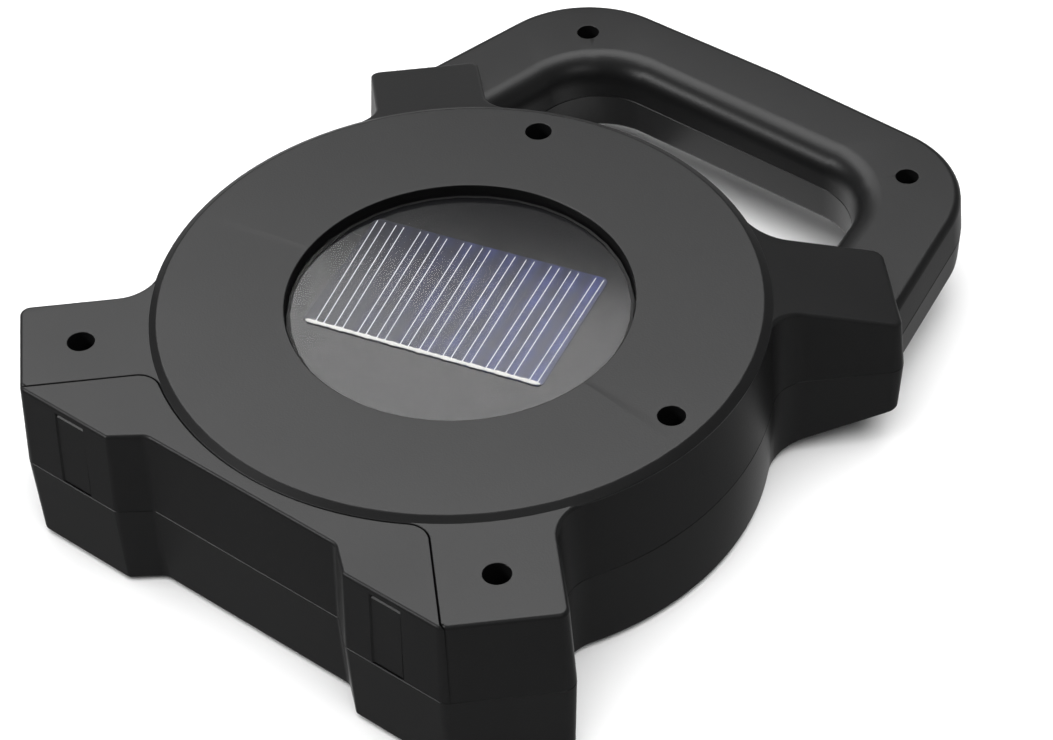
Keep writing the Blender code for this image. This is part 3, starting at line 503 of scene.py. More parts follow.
def handle_outline(inner_edge):
    """The handle's horseshoe, and the edge radius of each of its points."""
    outer_left = (-HANDLE_OUTER_END[0], HANDLE_OUTER_END[1])
    outer_corner_left = (-HANDLE_CORNER[0], HANDLE_CORNER[1])
    inner_left = (-HANDLE_INNER_END[0], HANDLE_INNER_END[1])
    outer = [
        (HANDLE_OUTER_END, 0),
        (HANDLE_CORNER, HANDLE_OUTER_R),
        ((0.0, HANDLE_TOP_Y), 0),
        (outer_corner_left, HANDLE_OUTER_R),
        (outer_left, 0),
    ]
    inner = [
        (inner_left, 0),
        ((-GRIP_CORNER_X, GRIP_Y), HANDLE_INNER_R),
        ((GRIP_CORNER_X, GRIP_Y), HANDLE_INNER_R),
        (HANDLE_INNER_END, 0),
    ]
    outside = rounded(HANDLE_INNER_END, outer, inner_left, 18)
    inside = rounded(outer_left, inner, HANDLE_OUTER_END, 16)
    radii = [HANDLE_OUTER_EDGE] * len(outside) + [inner_edge] * len(inside)
    return outside + inside, radii


# ---------------------------------------------------------------- solids


def add_rings(bm, rings):
    """Skin a stack of rings of points, lowest first, and close both ends."""
    made = [[bm.verts.new(point) for point in ring] for ring in rings]
    for lower, upper in zip(made, made[1:]):
        for i in range(len(lower)):
            j = (i + 1) % len(lower)
            bm.faces.new((lower[i], lower[j], upper[j], upper[i]))
    bm.faces.new(reversed(made[0]))
    bm.faces.new(made[-1])


def add_prism(bm, outline, low, high):
    add_rings(bm, [[(x, y, z) for x, y in outline] for z in (low, high)])


def add_soft_prism(bm, outline, low, high, radius):
    """A prism whose lower and upper edges are rounded."""
    rings = []
    for angle in ROUND_STEPS[::-2]:
        cos, sin = cos_sin(angle)
        rings.append([(x, y, low + radius * (1 - sin)) for x, y in inset(outline, radius * (1 - cos))])
    for angle in ROUND_STEPS[::2]:
        cos, sin = cos_sin(angle)
        rings.append([(x, y, high - radius * (1 - sin)) for x, y in inset(outline, radius * (1 - cos))])
    add_rings(bm, rings)


def add_box(bm, low, high):
    corners = [(low[0], low[1]), (high[0], low[1]), (high[0], high[1]), (low[0], high[1])]
    add_prism(bm, corners, low[2], high[2])


def add_turned(bm, profile, place=Matrix(), steps=TURN_STEPS):
    """Turn a closed profile of (radius, height) about the placed Z axis."""
    rings = []
    for radius, height in profile:
        if radius == 0:
            rings.append([bm.verts.new(place @ Vector((0, 0, height)))] * steps)
            continue
        circle = arc((0, 0), radius, 0, 360, steps)[:-1]
        rings.append([bm.verts.new(place @ Vector((x, y, height))) for x, y in circle])
    for i, ring in enumerate(rings):
        other = rings[(i + 1) % len(rings)]
        for k in range(steps):
            j = (k + 1) % steps
            corners = list(dict.fromkeys((ring[k], other[k], other[j], ring[j])))
            if len(corners) > 2:
                bm.faces.new(corners)


def add_rod(bm, x, y, radius, low, high, steps=36):
    place = Matrix.Translation((x, y, 0))
    add_turned(bm, [(0, low), (radius, low), (radius, high), (0, high)], place, steps)


def add_tube(bm, x, y, inner, outer, low, high, steps=TURN_STEPS):
    place = Matrix.Translation((x, y, 0))
    add_turned(bm, [(inner, low), (outer, low), (outer, high), (inner, high)], place, steps)


def flared_hole(radius, low, face, flare):
    """Profile of a cutter for a hole whose rim at the face is rounded."""
    profile = [(0, low), (radius, low)]
    for angle in ROUND_STEPS[::2]:
        cos, sin = cos_sin(angle)
        profile.append((radius + flare * (1 - cos), face - flare * (1 - sin)))
    return profile + [(radius + flare, face + 0.001), (0, face + 0.001)]


def edge_rings(outline, radii, low, high, draft):
    """Rings from the chamfer at the seam up the drafted wall and round the edge radius."""
    rings = [[(x, y, low) for x, y in inset(outline, SEAM_CHAMFER)]]
    rings.append([(x, y, low + SEAM_CHAMFER) for x, y in outline])
    for angle in ROUND_STEPS:
        cos, sin = cos_sin(angle)
        moved = inset(outline, [draft + radius * (1 - cos) for radius in radii])
        rings.append([(x, y, high - radius * (1 - sin)) for (x, y), radius in zip(moved, radii)])
    return rings


def slope_lugs(bm, blend):
    """Bend the faces of the upper lugs down towards their tips, over a short soft crease."""
    offsets = [blend * share for share in (-1, -0.5, 0, 0.5, 1)] if blend else [0]
    for direction in (45, 135):
        along = Vector((*turned_plan([(1.0, 0.0)], direction)[0], 0))
        for offset in offsets:
            geometry = bm.verts[:] + bm.edges[:] + bm.faces[:]
            plane = along * (SLOPE_START + offset)
            bmesh.ops.bisect_plane(bm, geom=geometry, plane_co=plane, plane_no=along)
        for vert in bm.verts:
            beyond = vert.co.dot(along) - SLOPE_START
            if blend and abs(beyond) < blend:
                beyond = (beyond + blend) ** 2 / (4 * blend)
            vert.co.z *= 1 - SLOPE * max(0.0, beyond) / HALF


def top_edge_radii(outline, groove):
    """Edge radius of each point: small along the cover's groove, EDGE elsewhere."""
    radii = []
    for x, y in outline:
        along, across = turned_plan([(abs(x), y)], 45)[0]
        in_groove = groove and across < 0.0001 - LUG_HALF_WIDTH and along < LUG_END - COVER_CORNER_R
        radii.append(GROOVE_EDGE if in_groove else EDGE)
    return radii


def half_body(outline, wall, low, high, edge, groove=False):
    """Half of the body above the seam; heights are counted from the seam."""
    bm = bmesh.new()
    start = inset(outline, wall)
    if edge:
        add_rings(bm, edge_rings(start, top_edge_radii(outline, groove), low, high, DRAFT))
    else:
        top = inset(start, DRAFT)
        add_rings(bm, [[(x, y, low) for x, y in start], [(x, y, high) for x, y in top]])
    slope_lugs(bm, SLOPE_BLEND if edge else 0)
    return bm


def half_handle(wall, low, high, side):
    bm = bmesh.new()
    outline, radii = handle_outline(HANDLE_INNER_EDGE if side > 0 else HANDLE_INNER_FRONT_EDGE)
    radii = [max(radius - wall, 0.0004) for radius in radii]
    add_rings(bm, edge_rings(inset(outline, wall), radii, low, high, 0.0004))
    return bm


def seam_to_height(bm, side):
    for vert in bm.verts:
        vert.co.z = HALF + side * vert.co.z
    if side < 0:
        # Mirroring turns every face inside out.
        bmesh.ops.reverse_faces(bm, faces=bm.faces[:])


# ---------------------------------------------------------------- objects


def mesh_object(name, bm):
    bmesh.ops.recalc_face_normals(bm, faces=bm.faces)
    bmesh.ops.triangulate(bm, faces=bm.faces)
    mesh = bpy.data.meshes.new(name)
    bm.to_mesh(mesh)
    bm.free()
    made = bpy.data.objects.new(name, mesh)
    bpy.context.scene.collection.objects.link(made)
    return made


def boolean(target, bm, operation, solver="MANIFOLD"):
    """Join a solid to the target or cut it away, and keep only the result."""
    tool = mesh_object("tool", bm)
    modifier = target.modifiers.new("boolean", "BOOLEAN")
    modifier.operation = operation
    modifier.solver = solver
    modifier.object = tool
    graph = bpy.context.evaluated_depsgraph_get()
    result = bpy.data.meshes.new_from_object(target.evaluated_get(graph))
    target.modifiers.clear()
    target.data = result
    bpy.data.objects.remove(tool)


def join(target, bm):
    boolean(target, bm, "UNION")


def cut(target, bm):
    boolean(target, bm, "DIFFERENCE")


def finish_piece(made, material, body, nodes=(), angle=28):
    """Move a piece into the frame, give it its material, hang it on its body and hide the CAD nodes that it
    replaces.
    """
    made.data.transform(Matrix.Translation(CENTRE))
    made.data.materials.clear()
    made.data.materials.append(material)
    made.data.shade_smooth()
    made.data.set_sharp_from_angle(angle=math.radians(angle))
    weighted = made.modifiers.new("face_weighted", "WEIGHTED_NORMAL")
    weighted.keep_sharp = True
    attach(made, body)
    if nodes:
        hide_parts(*nodes)


def shell_screws():
    """Name, place and well radius of each screw that holds the shells."""
    places = {
        "lug_screw_right": (*LUG_SCREW, WELL_R),
        "lug_screw_left": (-LUG_SCREW[0], LUG_SCREW[1], WELL_R),
        "handle_screw_right": (*HANDLE_SCREW, HANDLE_WELL_R),
        "handle_screw_left": (-HANDLE_SCREW[0], HANDLE_SCREW[1], HANDLE_WELL_R),
    }
    for name, (x, y) in DISC_SCREWS.items():
        places[name] = (x, y, WELL_R)
    return places


def well_floor(name):
    return HALF + (0.0035 if name.startswith("handle") else WELL_FLOOR)


def well_face(name):
    """Height of the face that the screw's well opens in."""
    if name.startswith("handle"):
        return HALF + HANDLE_HALF
    return TOP if name.startswith("disc") else THICKNESS


# ---------------------------------------------------------------- housing


def shell_base(name, outline, side):
    outer = half_body(outline, 0.0, SEAM_CLEAR, HALF, EDGE, groove=side > 0)
    seam_to_height(outer, side)
    shell = mesh_object(name, outer)
    grip = half_handle(0.0, SEAM_CLEAR, HANDLE_HALF, side)
    seam_to_height(grip, side)
    join(shell, grip)
    return shell


def hollow(shell, outline, side):
    hollow_body = half_body(outline, WALL, -0.001, HALF - WALL, 0)
    seam_to_height(hollow_body, side)
    cut(shell, hollow_body)
    hollow_grip = half_handle(WALL, -0.001, HANDLE_HALF - WALL, side)
    seam_to_height(hollow_grip, side)
    cut(shell, hollow_grip)


def button_bore():
    """Cutter for the button's hole, flared where it leaves the wall."""
    bore = bmesh.new()
    sideways = Matrix.Translation((0, 0, BUTTON_Z)) @ Matrix.Rotation(math.radians(-90), 4, "Y")
    radius = BUTTON_R + 0.0002
    wall = BODY_R - 0.0005
    profile = [(0, 0.0580), (radius, 0.0580), (radius, wall - 0.0008)]
    profile += [(radius + 0.0010, wall + 0.0004), (radius + 0.0010, 0.0660), (0, 0.0660)]
    add_turned(bore, profile, sideways, 64)
    return bore


def make_back_shell(finish):
    shell = shell_base("housing_back", back_outline(), 1)
    disc = bmesh.new()
    root = THICKNESS - 0.0012
    profile = [(0, root), (DISC_FOOT_R - 0.0002, root), (DISC_FOOT_R, THICKNESS - 0.0003)]
    profile += [(DISC_FOOT_R - 0.0002, THICKNESS - 0.00005), (DISC_R + 0.00035, TOP - 0.00018)]
    profile += [(DISC_R + 0.00012, TOP - 0.00004), (DISC_R - 0.00015, TOP), (0, TOP)]
    add_turned(disc, profile)
    join(shell, disc)
    hollow(shell, back_outline(hollow=True), 1)

    bosses = bmesh.new()
    plate = THICKNESS - WALL + 0.0003
    add_tube(bosses, 0, 0, 0.030, WINDOW_BOSS_R, 0.0334, plate)
    for name, (x, y, _) in shell_screws().items():
        high = HALF + HANDLE_HALF - WALL + 0.0003 if name.startswith("handle") else plate
        add_rod(bosses, x, y, BOSS_R, HALF + SEAM_CLEAR, high)
    join(shell, bosses)
    ports = bmesh.new()
    port_wall = arc((0, 0), BODY_R - 0.0014, 73, 107, 12)
    add_prism(ports, port_wall + [(-0.0160, 0.0560), (0.0160, 0.0560)], 0.0202, 0.0355)
    for x, y in BOARD_SCREWS:
        add_rod(ports, x, y, 0.0020, CONTROL_BOARD_Z + 0.0019, plate)
    join(shell, ports)

    wells = bmesh.new()
    for name, (x, y, radius) in shell_screws().items():
        profile = flared_hole(radius, well_floor(name), well_face(name), 0.0002)
        add_turned(wells, profile, Matrix.Translation((x, y, 0)), 48)
    cut(shell, wells)
    shanks = bmesh.new()
    for name, (x, y, _) in shell_screws().items():
        add_rod(shanks, x, y, BORE_R, HALF - 0.001, well_floor(name) + 0.0005)
    cut(shell, shanks)
    window = bmesh.new()
    add_turned(window, flared_hole(WINDOW_R, LEDGE_Z, TOP, 0.0003))
    cut(shell, window)
    ledge = bmesh.new()
    add_rod(ledge, 0, 0, LEDGE_R, 0.0300, LEDGE_Z + 0.0005, TURN_STEPS)
    cut(shell, ledge)
    bay = bmesh.new()
    add_box(bay, *BATTERY_BAY)
    cut(shell, bay)
    pocket = bmesh.new()
    half = FLAP_HALF_X + 0.0002
    add_box(pocket, (-half, PORT_FLOOR_Y, FLAP_Z[0] - 0.0002), (half, 0.066, FLAP_Z[1] + 0.0002))
    cut(shell, pocket)
    sockets = bmesh.new()
    for (left, low), (right, high) in SOCKET_CUTS:
        add_box(sockets, (left, 0.0500, low), (right, PORT_FLOOR_Y + 0.0005, high))
    cut(shell, sockets)
    cut(shell, button_bore())
    finish_piece(shell, finish["shell"], "housing", ("back_shell",))


def make_front_shell(finish):
    shell = shell_base("housing_front", body_outline(), -1)
    hollow(shell, body_outline(hollow=True), -1)
    inner = bmesh.new()
    add_tube(inner, 0, 0, COLLAR_R, COLLAR_R + 0.0020, WALL - 0.0003, COLLAR_TOP)
    for x, y in (HANDLE_SCREW, (-HANDLE_SCREW[0], HANDLE_SCREW[1])):
        add_rod(inner, x, y, FRONT_BOSS_R, HALF - HANDLE_HALF + WALL - 0.0003, HALF - SEAM_CLEAR)
    for x, y in (LUG_SCREW, (-LUG_SCREW[0], LUG_SCREW[1])):
        add_rod(inner, x, y, FRONT_BOSS_R, WALL - 0.0003, HALF - SEAM_CLEAR)
    join(shell, inner)
    posts = bmesh.new()
    for x, y in DISC_SCREWS.values():
        add_rod(posts, x, y, FRONT_BOSS_R, COLLAR_TOP - 0.0010, HALF - SEAM_CLEAR)
    join(shell, posts)
    opening = bmesh.new()
    add_rod(opening, 0, 0, LAMP_R, -0.001, 0.0060, TURN_STEPS)
    cut(shell, opening)
    rebate = bmesh.new()
    add_rod(rebate, 0, 0, DISC_R + 0.0001, -0.001, 0.0012, TURN_STEPS)
    for side in (-1, 1):
        low = (side * LATCH_X - LATCH_SLOT / 2, LATCH_SKIN_Y, LATCH_ROOT_Z - GAP)
        add_box(rebate, low, (side * LATCH_X + LATCH_SLOT / 2, -0.0640, HALF + 0.001))
    cut(shell, rebate)
    bores = bmesh.new()
    for name, (x, y, _) in shell_screws().items():
        depth = 0.0050 if name.startswith("handle") else 0.0100
        add_rod(bores, x, y, BORE_R, HALF - depth, HALF + 0.001)
    cut(shell, bores)
    finish_piece(shell, finish["shell"], "housing", ("front_shell",))


def make_battery_cover(finish):
    outer = half_body(body_outline(), 0.0, SEAM_CLEAR, HALF, EDGE)
    seam_to_height(outer, 1)
    cover = mesh_object("bottom_cover", outer)
    # The cutter flares at the top, so that the cover's edge along the groove is rounded.
    body = bmesh.new()
    start = back_outline()
    levels = [(-0.001, 0.00018), (HALF - 0.0003, 0.00018 - DRAFT), (HALF - 0.00010, 0.00024 - DRAFT)]
    levels += [(HALF + 0.00002, 0.00038 - DRAFT), (HALF + 0.001, 0.00040 - DRAFT)]
    add_rings(body, [[(x, y, z) for x, y in inset(start, -outset)] for z, outset in levels])
    seam_to_height(body, 1)
    cut(cover, body)
    space = half_body(body_outline(hollow=True), 0.0022, -0.001, HALF - 0.0022, 0)
    seam_to_height(space, 1)
    cut(cover, space)
    above = bmesh.new()
    add_box(above, (-0.1, -0.0400, 0.015), (0.1, 0.12, 0.045))
    cut(cover, above)
    notches = bmesh.new()
    for side in (-1, 1):
        add_latch_notch(notches, side * LATCH_X, HALF - 0.001, LATCH_TOP_Z + GAP)
    cut(cover, notches)
    finish_piece(cover, finish["cover"], "cover", ("battery_cover",))


def wall_y(z):
    """Outside of the drafted wall between the lower lugs' ears, at a height."""
    return FOOT_Y + DRAFT * abs(z - HALF) / HALF


def add_latch_notch(bm, x, low, high):
    """Cutter for a latch's recess, with its rim bevelled where it meets the wall."""
    half = LATCH_SLOT / 2
    rings = []
    for depth, flare in ((0.0070, 0.0), (0.00030, 0.0), (-0.00005, 0.00035), (-0.0010, 0.00035)):
        right, left, top = x + half + flare, x - half - flare, high + flare
        ring = [(left, low), (right, low), (right, top), (left, top)]
        rings.append([(px, wall_y(pz) + depth, pz) for px, pz in ring])
    add_rings(bm, rings[::-1])


def make_latches(finish):
    """Spring tongues that rise from inside the front shell, nearly flush with the feet."""
    half = LATCH_SLOT / 2 - HAIRLINE
    back, front = LATCH_Y + 0.0007, LATCH_SKIN_Y + 0.0002
    root, top, step = LATCH_ROOT_Z, LATCH_TOP_Z, HALF + 0.0002
    for side, label in ((-1, "left"), (1, "right")):
        x = side * LATCH_X
        tongue = bmesh.new()
        outline = [(back, root), (back, top), (wall_y(top) + 0.0009, top)]
        outline += [(wall_y(top) + LATCH_SINK, top - 0.0005), (wall_y(step) + LATCH_SINK, step + 0.0003)]
        outline += [(wall_y(step) + 0.0004, step), (front, step), (front, root)]
        add_rings(tongue, [[(end, y, z) for y, z in outline] for end in (x - half, x + half)])
        made = mesh_object(f"latch_tongue_{label}", tongue)
        finish_piece(made, finish["cover"], f"latch_{label}", (f"cover_latch_{label}",))


# ---------------------------------------------------------------- solar side


def cell_place(x, y):
    """A point of the cell's own plan, turned with the cell."""
    turned_x, turned_y = turned_plan([(x, y)], CELL_TURN)[0]
    return turned_x + CELL_CENTRE[0], turned_y + CELL_CENTRE[1]


def add_strip(bm, start, end, widths, low, high):
    """A flat printed strip between two points of the cell, with its width at each step."""
    first, last = Vector(start), Vector(end)
    along = (last - first).normalized()
    side = Vector((-along.y, along.x))
    right, left = [], []
    for i, width in enumerate(widths):
        point = first.lerp(last, i / (len(widths) - 1))
        right.append(cell_place(*(point - side * width / 2)))
        left.append(cell_place(*(point + side * width / 2)))
    add_prism(bm, right + left[::-1], low, high)


def finger_x(places, pair):
    first, step, closer = places
    return first + step * pair - closer * (pair % 2)


def make_solar_side(finish):
    rim = WINDOW_R - WINDOW_GAP
    edge = []
    for angle in ROUND_STEPS:
        cos, sin = cos_sin(angle)
        edge.append((rim - COVER_EDGE * (1 - cos), WINDOW_TOP - COVER_EDGE * (1 - sin)))
    window = bmesh.new()
    profile = [(0, WINDOW_LOW), (rim, WINDOW_LOW)] + edge + [(0, WINDOW_TOP)]
    add_turned(window, profile, Matrix.Translation((*COVER_SHIFT, 0)), 192)
    made = mesh_object("window_cover", window)
    finish_piece(made, finish["clear"], "housing", ("solar_window",))

    back = bmesh.new()
    profile = [(0, PANEL_LOW), (BOARD_R - 0.0003, PANEL_LOW), (BOARD_R, PANEL_LOW + 0.0003)]
    profile += [(BOARD_R, PANEL_TOP - 0.0007), (BOARD_R - 0.0002, PANEL_TOP), (0, PANEL_TOP)]
    add_turned(back, profile)
    made = mesh_object("cell_backing", back)
    finish_piece(made, finish["panel"], "housing", ("solar_board",))

    half_x, half_y = CELL_SIZE[0] / 2, CELL_SIZE[1] / 2
    cut_x, cut_y = half_x - CELL_CORNER_CUT, half_y - CELL_CORNER_CUT
    corners = [(-cut_x, -half_y), (cut_x, -half_y), (half_x, -cut_y), (half_x, cut_y)]
    corners += [(cut_x, half_y), (-cut_x, half_y), (-half_x, cut_y), (-half_x, -cut_y)]
    wafer = bmesh.new()
    plan = [cell_place(x, y) for x, y in corners]
    add_soft_prism(wafer, plan, PANEL_TOP + 0.00002, CELL_TOP, 0.00002)
    made = mesh_object("cell_wafer", wafer)
    finish_piece(made, finish["cell"], "housing", ("solar_cell",))

    ribbon_y = -half_y + 0.0005
    finger_end = half_y - 0.0007
    fingers = bmesh.new()
    for i in range(FINGER_PAIRS):
        for gap in (0, PAIR_GAP):
            root = (finger_x(FINGER_ROOTS, i) + gap, ribbon_y)
            tip = (finger_x(FINGER_TIPS, i) + gap, finger_end)
            add_strip(fingers, root, tip, FINGER_WIDTHS, CELL_TOP, CELL_TOP + FINGER_HEIGHT)
    made = mesh_object("cell_fingers", fingers)
    finish_piece(made, finish["silver"], "housing")

    # The ribbon's solder makes it wider in places.
    ribbon = bmesh.new()
    widths = []
    for i in range(RIBBON_STEPS):
        blob = max(0.0, math.sin(0.61 * i)) * 0.00022 + 0.00012 * math.sin(1.9 * i + 0.8)
        widths.append(0.00078 + blob)
    widths[0] = widths[-1] = 0.0003
    ends = [(x, ribbon_y) for x in RIBBON_ENDS]
    add_strip(ribbon, *ends, widths, CELL_TOP, CELL_TOP + RIBBON_HEIGHT)
    made = mesh_object("cell_ribbon", ribbon)
    finish_piece(made, finish["solder"], "housing")


# ---------------------------------------------------------------- lamp side


def make_lamp(finish):
    rim = DISC_R - 0.0001
    profile = [(BEZEL_INNER_R + 0.0010, -RAISED), (0.0560, -RAISED), (0.0563, -RAISED + 0.0003)]
    profile += [(0.0566, -RAISED + 0.0003), (0.0569, -RAISED), (rim - 0.0011, -RAISED)]
    profile += [(rim - 0.0004, -RAISED + 0.0003), (rim, 0.0), (rim, 0.0009), (BEZEL_INNER_R, 0.0009)]
    profile += [(BEZEL_INNER_R, 0.0), (BEZEL_INNER_R + 0.0003, -RAISED + 0.0003)]
    ring = bmesh.new()
    add_turned(ring, profile)
    made = mesh_object("lamp_bezel", ring)
    finish_piece(made, finish["bezel"], "housing", ("front_bezel",), 40)

    lens = bmesh.new()
    profile = [(0, LENS_LOW), (LAMP_R - 0.0010, LENS_LOW), (LAMP_R - 0.0008, LENS_LOW + 0.0002)]
    profile += [(LENS_R, LENS_LOW + 0.0002), (LENS_R, LENS_TOP - 0.0002)]
    add_turned(lens, profile + [(LENS_R - 0.0002, LENS_TOP), (0, LENS_TOP)])
    made = mesh_object("lamp_lens", lens)
    finish_piece(made, finish["lens"], "housing", ("front_lens",))

    # The dish curves from the flat round the emitter's hole out to its flange.
    hole = EMITTER_R + 0.0015
    floor_r, floor = DISH_FLOOR
    inside, outside = [], []
    for i in range(DISH_STEPS + 1):
        share = i / DISH_STEPS
        radius = floor_r + (DISH_MOUTH_R - floor_r) * share
        height = floor - (floor - DISH_FLANGE) * share**1.6
        inside.append((radius, height))
        outside.append((radius + 0.0008, height + 0.0011))
    dish = bmesh.new()
    shape = [(LENS_R, DISH_FLANGE), (LENS_R, DISH_FLANGE + 0.0011)] + outside[::-1]
    shape += [(hole, floor + 0.0011), (hole, floor)] + inside
    add_turned(dish, shape)
    made = mesh_object("lamp_reflector", dish)
    finish_piece(made, finish["mirror"], "housing", ("reflector",))

    emitter = bmesh.new()
    dome = [(0, EMITTER_FACE + 0.0006), (EMITTER_R, EMITTER_FACE + 0.0006), (EMITTER_R, EMITTER_FACE)]
    for angle in (20, 40, 60, 75, 90):
        cos, sin = cos_sin(angle)
        dome.append((EMITTER_R * cos**0.35 if angle < 90 else 0, EMITTER_FACE - 0.0003 * sin))
    add_turned(emitter, dome, steps=72)
    made = mesh_object("emitter_dome", emitter)
    finish_piece(made, finish["phosphor"], "housing", ("cob_emitter",))


# ---------------------------------------------------------------- controls and screws


def make_button(finish):
    sideways = Matrix.Translation((0, 0, BUTTON_Z)) @ Matrix.Rotation(math.radians(-90), 4, "Y")
    profile = [(0, 0.0578), (0.0068, 0.0578), (0.0068, 0.0588), (BUTTON_R, 0.0590), (BUTTON_R, 0.0629)]
    profile += [(BUTTON_R - 0.0002, 0.0634), (BUTTON_R - 0.0007, 0.0637), (BUTTON_R - 0.0012, 0.0638)]
    profile += [(BUTTON_R - 0.0015, 0.0638), (BUTTON_R - 0.0018, 0.0635), (BUTTON_R - 0.0021, 0.0635)]
    profile += [(BUTTON_R - 0.0026, 0.0636), (0.0014, 0.06375), (0, 0.0638)]
    cap = bmesh.new()
    add_turned(cap, profile, sideways, 72)
    made = mesh_object("button_cap", cap)
    dots = bmesh.new()
    for i in range(8):
        y, z = arc((0, BUTTON_Z), 0.0022, 45 * i, 45 * i, 1)[0]
        dimple = Matrix.Translation((0, y, z)) @ Matrix.Rotation(math.radians(-90), 4, "Y")
        add_turned(dots, [(0, 0.0634), (0.0003, 0.0634), (0.0004, 0.0645), (0, 0.0645)], dimple, 16)
    cut(made, dots)
    finish_piece(made, finish["rubber"], "button", ("power_button",), 40)


def make_flap(finish):
    """The rubber flap: curved as the wall, with softened edges and three grip ribs."""
    spread_angle = math.degrees(math.asin((FLAP_HALF_X - 0.0001) / BODY_R))
    inner = PORT_FLOOR_Y + 0.0002
    face = arc((0, 0), BODY_R - 0.0004, 90 - spread_angle, 90 + spread_angle, 24)
    outline = [(-FLAP_HALF_X + 0.0001, inner), (FLAP_HALF_X - 0.0001, inner)] + face
    flap = bmesh.new()
    add_soft_prism(flap, outline, FLAP_Z[0], FLAP_Z[1], 0.00035)
    made = mesh_object("flap_cover", flap)
    ribs = bmesh.new()
    for level in (0.0296, 0.0308, 0.0320):
        inner_line = arc((0, 0), BODY_R - 0.0008, 86, 94, 8)
        outer_line = arc((0, 0), BODY_R - 0.0001, 94, 86, 8)
        add_prism(ribs, inner_line + outer_line, level - 0.0003, level + 0.0003)
    join(made, ribs)
    finish_piece(made, finish["rubber"], "flap", ("port_flap",), 40)


def make_screws(finish):
    """Pan-head screws with a cross recess."""
    for name, (x, y, radius) in shell_screws().items():
        seat = well_floor(name) + GAP
        head = radius - GAP
        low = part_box(name)[0].z - CENTRE.z
        profile = [(0, low), (0.0009, low + 0.0010)]
        thread = low + 0.0014
        while thread < seat - 0.0010:
            profile += [(0.0011, thread), (0.0014, thread + 0.0002), (0.0011, thread + 0.0004)]
            thread += 0.0009
        profile += [(0.0011, seat), (head, seat), (head, seat + 0.0009)]
        for angle in (20, 40, 60, 80):
            cos, sin = cos_sin(angle)
            profile.append((head * cos**0.6, seat + 0.0009 + 0.0008 * sin))
        profile.append((0, seat + 0.00175))
        screw = bmesh.new()
        add_turned(screw, profile, Matrix.Translation((x, y, 0)), 32)
        made = mesh_object(f"{name}_detailed", screw)
        # Each screw stopped at its own angle.
        turn = 17.0 + 1e3 * x
        narrow = 0.00032
        for quarter in (0, 90):
            arms = []
            for share, level in ((0.45, seat + 0.0006), (1.0, seat + 0.0025)):
                wide = head * 0.62 * share
                box = [(-wide, -narrow), (wide, -narrow), (wide, narrow), (-wide, narrow)]
                arms.append([(x + px, y + py, level) for px, py in turned_plan(box, turn + quarter)])
            slot = bmesh.new()
            add_rings(slot, arms)
            boolean(made, slot, "DIFFERENCE", "EXACT")
        finish_piece(made, finish["screw"], "housing", (name,), 35)


def dress_cad_nodes(finish):
    """Carried-over CAD nodes keep their shape and take a procedural finish."""
    groups = {
        "rubber": ("window_seal", "lens_seal"),
        "aluminium": ("cob_board", "heat_sink"),
        "board": ("control_board", "switch_board"),
        "chip": ("power_switch", "boost_inductor", "charge_chip", "battery_tray"),
        "wrap": ("battery_cell",),
        "steel": ("usb_output_socket", "charge_socket", "battery_contact", "battery_spring")
        + tuple(f"heat_sink_screw_{i}" for i in (1, 2, 3, 4))
        + ("board_screw_1", "board_screw_2"),
    }
    for colour in ("red", "black"):
        groups[colour] = [f"{name}_lead_{colour}" for name in ("solar", "lamp", "battery", "switch")]
    for key, names in groups.items():
        for name in names:
            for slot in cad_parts[name].material_slots:
                slot.material = finish[key]


# ---------------------------------------------------------------- studio


def make_floor():
    made, tree, shader = new_material("studio_floor")
    place = object_place(tree)
    share = spread(tree, noise(tree, place, 3.0), 0.0, 1.0)
    blend_base(tree, shader, share, (0.88, 0.88, 0.88), (0.90, 0.90, 0.90))
    shader.inputs["Roughness"].default_value = 0.7
    shader.inputs["Specular IOR Level"].default_value = 0.2
    bm = bmesh.new()
    bmesh.ops.create_grid(bm, x_segments=4, y_segments=4, size=6.0)
    floor = mesh_object("studio_floor", bm)
    floor.data.materials.append(made)
    # A pale floor mirrored in black walls would wash them out.
    floor.visible_glossy = False


def link_light(made, floor_only):
    """A light reaches only the floor, or everything but the floor."""
    receivers = bpy.data.collections.new(f"{made.name}_receivers")
    receivers.objects.link(bpy.data.objects["studio_floor"])
    made.light_linking.receiver_collection = receivers
    state = "INCLUDE" if floor_only else "EXCLUDE"
    receivers.collection_objects[0].light_linking.link_state = state


def add_softbox(name, place, target, size, radiance, roll=0.0):
    """A rectangular light of a given brightness, turned by roll about its own axis."""
    light = bpy.data.lights.new(name, "AREA")
    light.shape = "RECTANGLE"
    light.size, light.size_y = size
    light.energy = radiance * math.pi * size[0] * size[1]
    made = bpy.data.objects.new(name, light)
    bpy.context.scene.collection.objects.link(made)
    aim = (Vector(target) - Vector(place)).to_track_quat("-Z", "Y")
    made.matrix_world = Matrix.Translation(place) @ aim.to_matrix().to_4x4() @ Matrix.Rotation(roll, 4, "Z")
    return made


def make_surroundings():
    """A dim room. Below the horizon, mirrored faces see it as a floor, pale at the back left."""
    world = bpy.data.worlds.new("studio")
    world.use_nodes = True
    tree = world.node_tree
    direction = tree.nodes.new("ShaderNodeTexCoord").outputs["Generated"]
    axes = tree.nodes.new("ShaderNodeSeparateXYZ")
    tree.links.new(direction, axes.inputs["Vector"])
    back_left = math_node(tree, "SUBTRACT", axes.outputs["Y"], axes.outputs["X"])
    floor = map_range(tree, back_left, (0.4, 1.0), (0.18, 0.7))
    below = map_range(tree, axes.outputs["Z"], (0.0, -0.15))
    room = 0.13
    extra = math_node(tree, "MULTIPLY", below, math_node(tree, "SUBTRACT", floor, room))
    background = tree.nodes["Background"]
    background.inputs["Color"].default_value = (1.0, 1.0, 1.0, 1.0)
    tree.links.new(math_node(tree, "ADD", extra, room), background.inputs["Strength"])
    bpy.context.scene.world = world


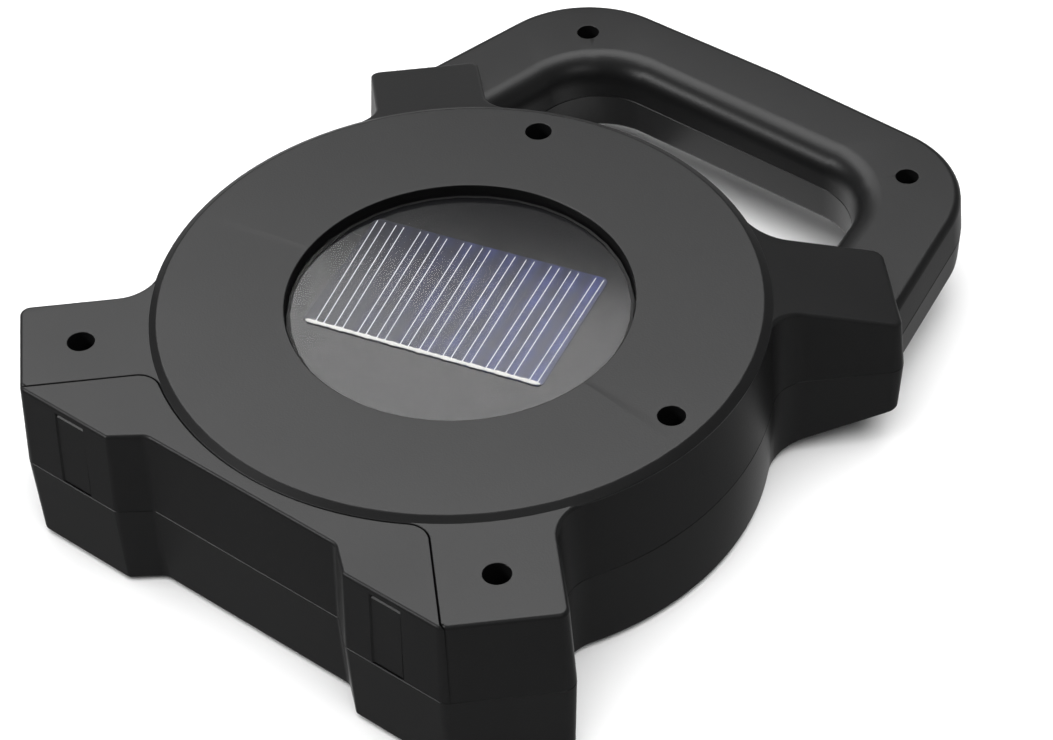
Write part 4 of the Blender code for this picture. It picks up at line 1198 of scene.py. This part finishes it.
def make_studio():
    make_floor()
    make_surroundings()
    # The key stands where the solar face mirrors it to the camera; its lower edge ends
    # in the window.
    window = Vector((CENTRE.x, CENTRE.y, CENTRE.z + WINDOW_TOP))
    mirror = Vector((-0.5005, 0.5541, 0.6652))
    across = mirror.cross(Vector((0, 0, 1))).normalized()
    upward = across.cross(mirror)
    size = (1.3, 0.9)
    lower_edge = -0.022
    roll = math.radians(14)
    rise = (upward * math.cos(roll) - across * math.sin(roll)) * (lower_edge + size[1] / 2)
    lights = [add_softbox("key", window + mirror * 1.2 + rise, window + rise, size, 4.5, -roll)]
    # Three small lights draw the bright lines along the rounded upper edges.
    body = (0, 0, 0.02)
    lights.append(add_softbox("front_left", (-0.62, -0.84, 0.70), body, (0.40, 0.25), 15.0))
    lights.append(add_softbox("front_top", (0.72, -0.34, 0.84), body, (0.35, 0.35), 3.0))
    lights.append(add_softbox("right_back", (0.85, 0.72, 0.40), body, (0.30, 0.30), 1.0))
    # The white floor inside the handle, which lights the grip's inner wall from below.
    inside, above = (0.004, 0.058, 0.0003), (0.004, 0.058, 1.0)
    lights.append(add_softbox("handle_floor", inside, above, (0.056, 0.026), 0.9))
    for made in lights:
        link_light(made, floor_only=False)
    add_softbox("overhead", (0.0, 0.0, 1.6), (0, 0, 0), (1.2, 1.2), 0.35)
    sun = bpy.data.lights.new("floor_wash", "SUN")
    sun.energy = 4.8
    sun.angle = math.radians(80)
    made = bpy.data.objects.new("floor_wash", sun)
    bpy.context.scene.collection.objects.link(made)
    made.matrix_world = Vector((0.05, -0.10, 1.0)).to_track_quat("Z", "Y").to_matrix().to_4x4()
    link_light(made, floor_only=True)


def make_camera():
    """Look from where the photograph was taken."""
    camera = bpy.data.cameras.new("camera")
    camera.lens = 116.0
    camera.sensor_width = 36.0
    camera.clip_start = 0.05
    made = bpy.data.objects.new("camera", camera)
    bpy.context.scene.collection.objects.link(made)
    right = Vector((0.77994, 0.62475, -0.03705)).normalized()
    forward = Vector((-0.47776, 0.55610, -0.68007)).normalized()
    up = right.cross(forward)
    matrix = Matrix((right, up, -forward)).transposed().to_4x4()
    matrix.translation = (0.33636, -0.39155, 0.48589)
    made.matrix_world = matrix
    bpy.context.scene.camera = made


finish = make_finishes()
make_back_shell(finish)
make_front_shell(finish)
make_battery_cover(finish)
make_latches(finish)
make_solar_side(finish)
make_lamp(finish)
make_button(finish)
make_flap(finish)
make_screws(finish)
dress_cad_nodes(finish)
make_studio()
make_camera()
bpy.context.scene.view_settings.view_transform = "Standard"
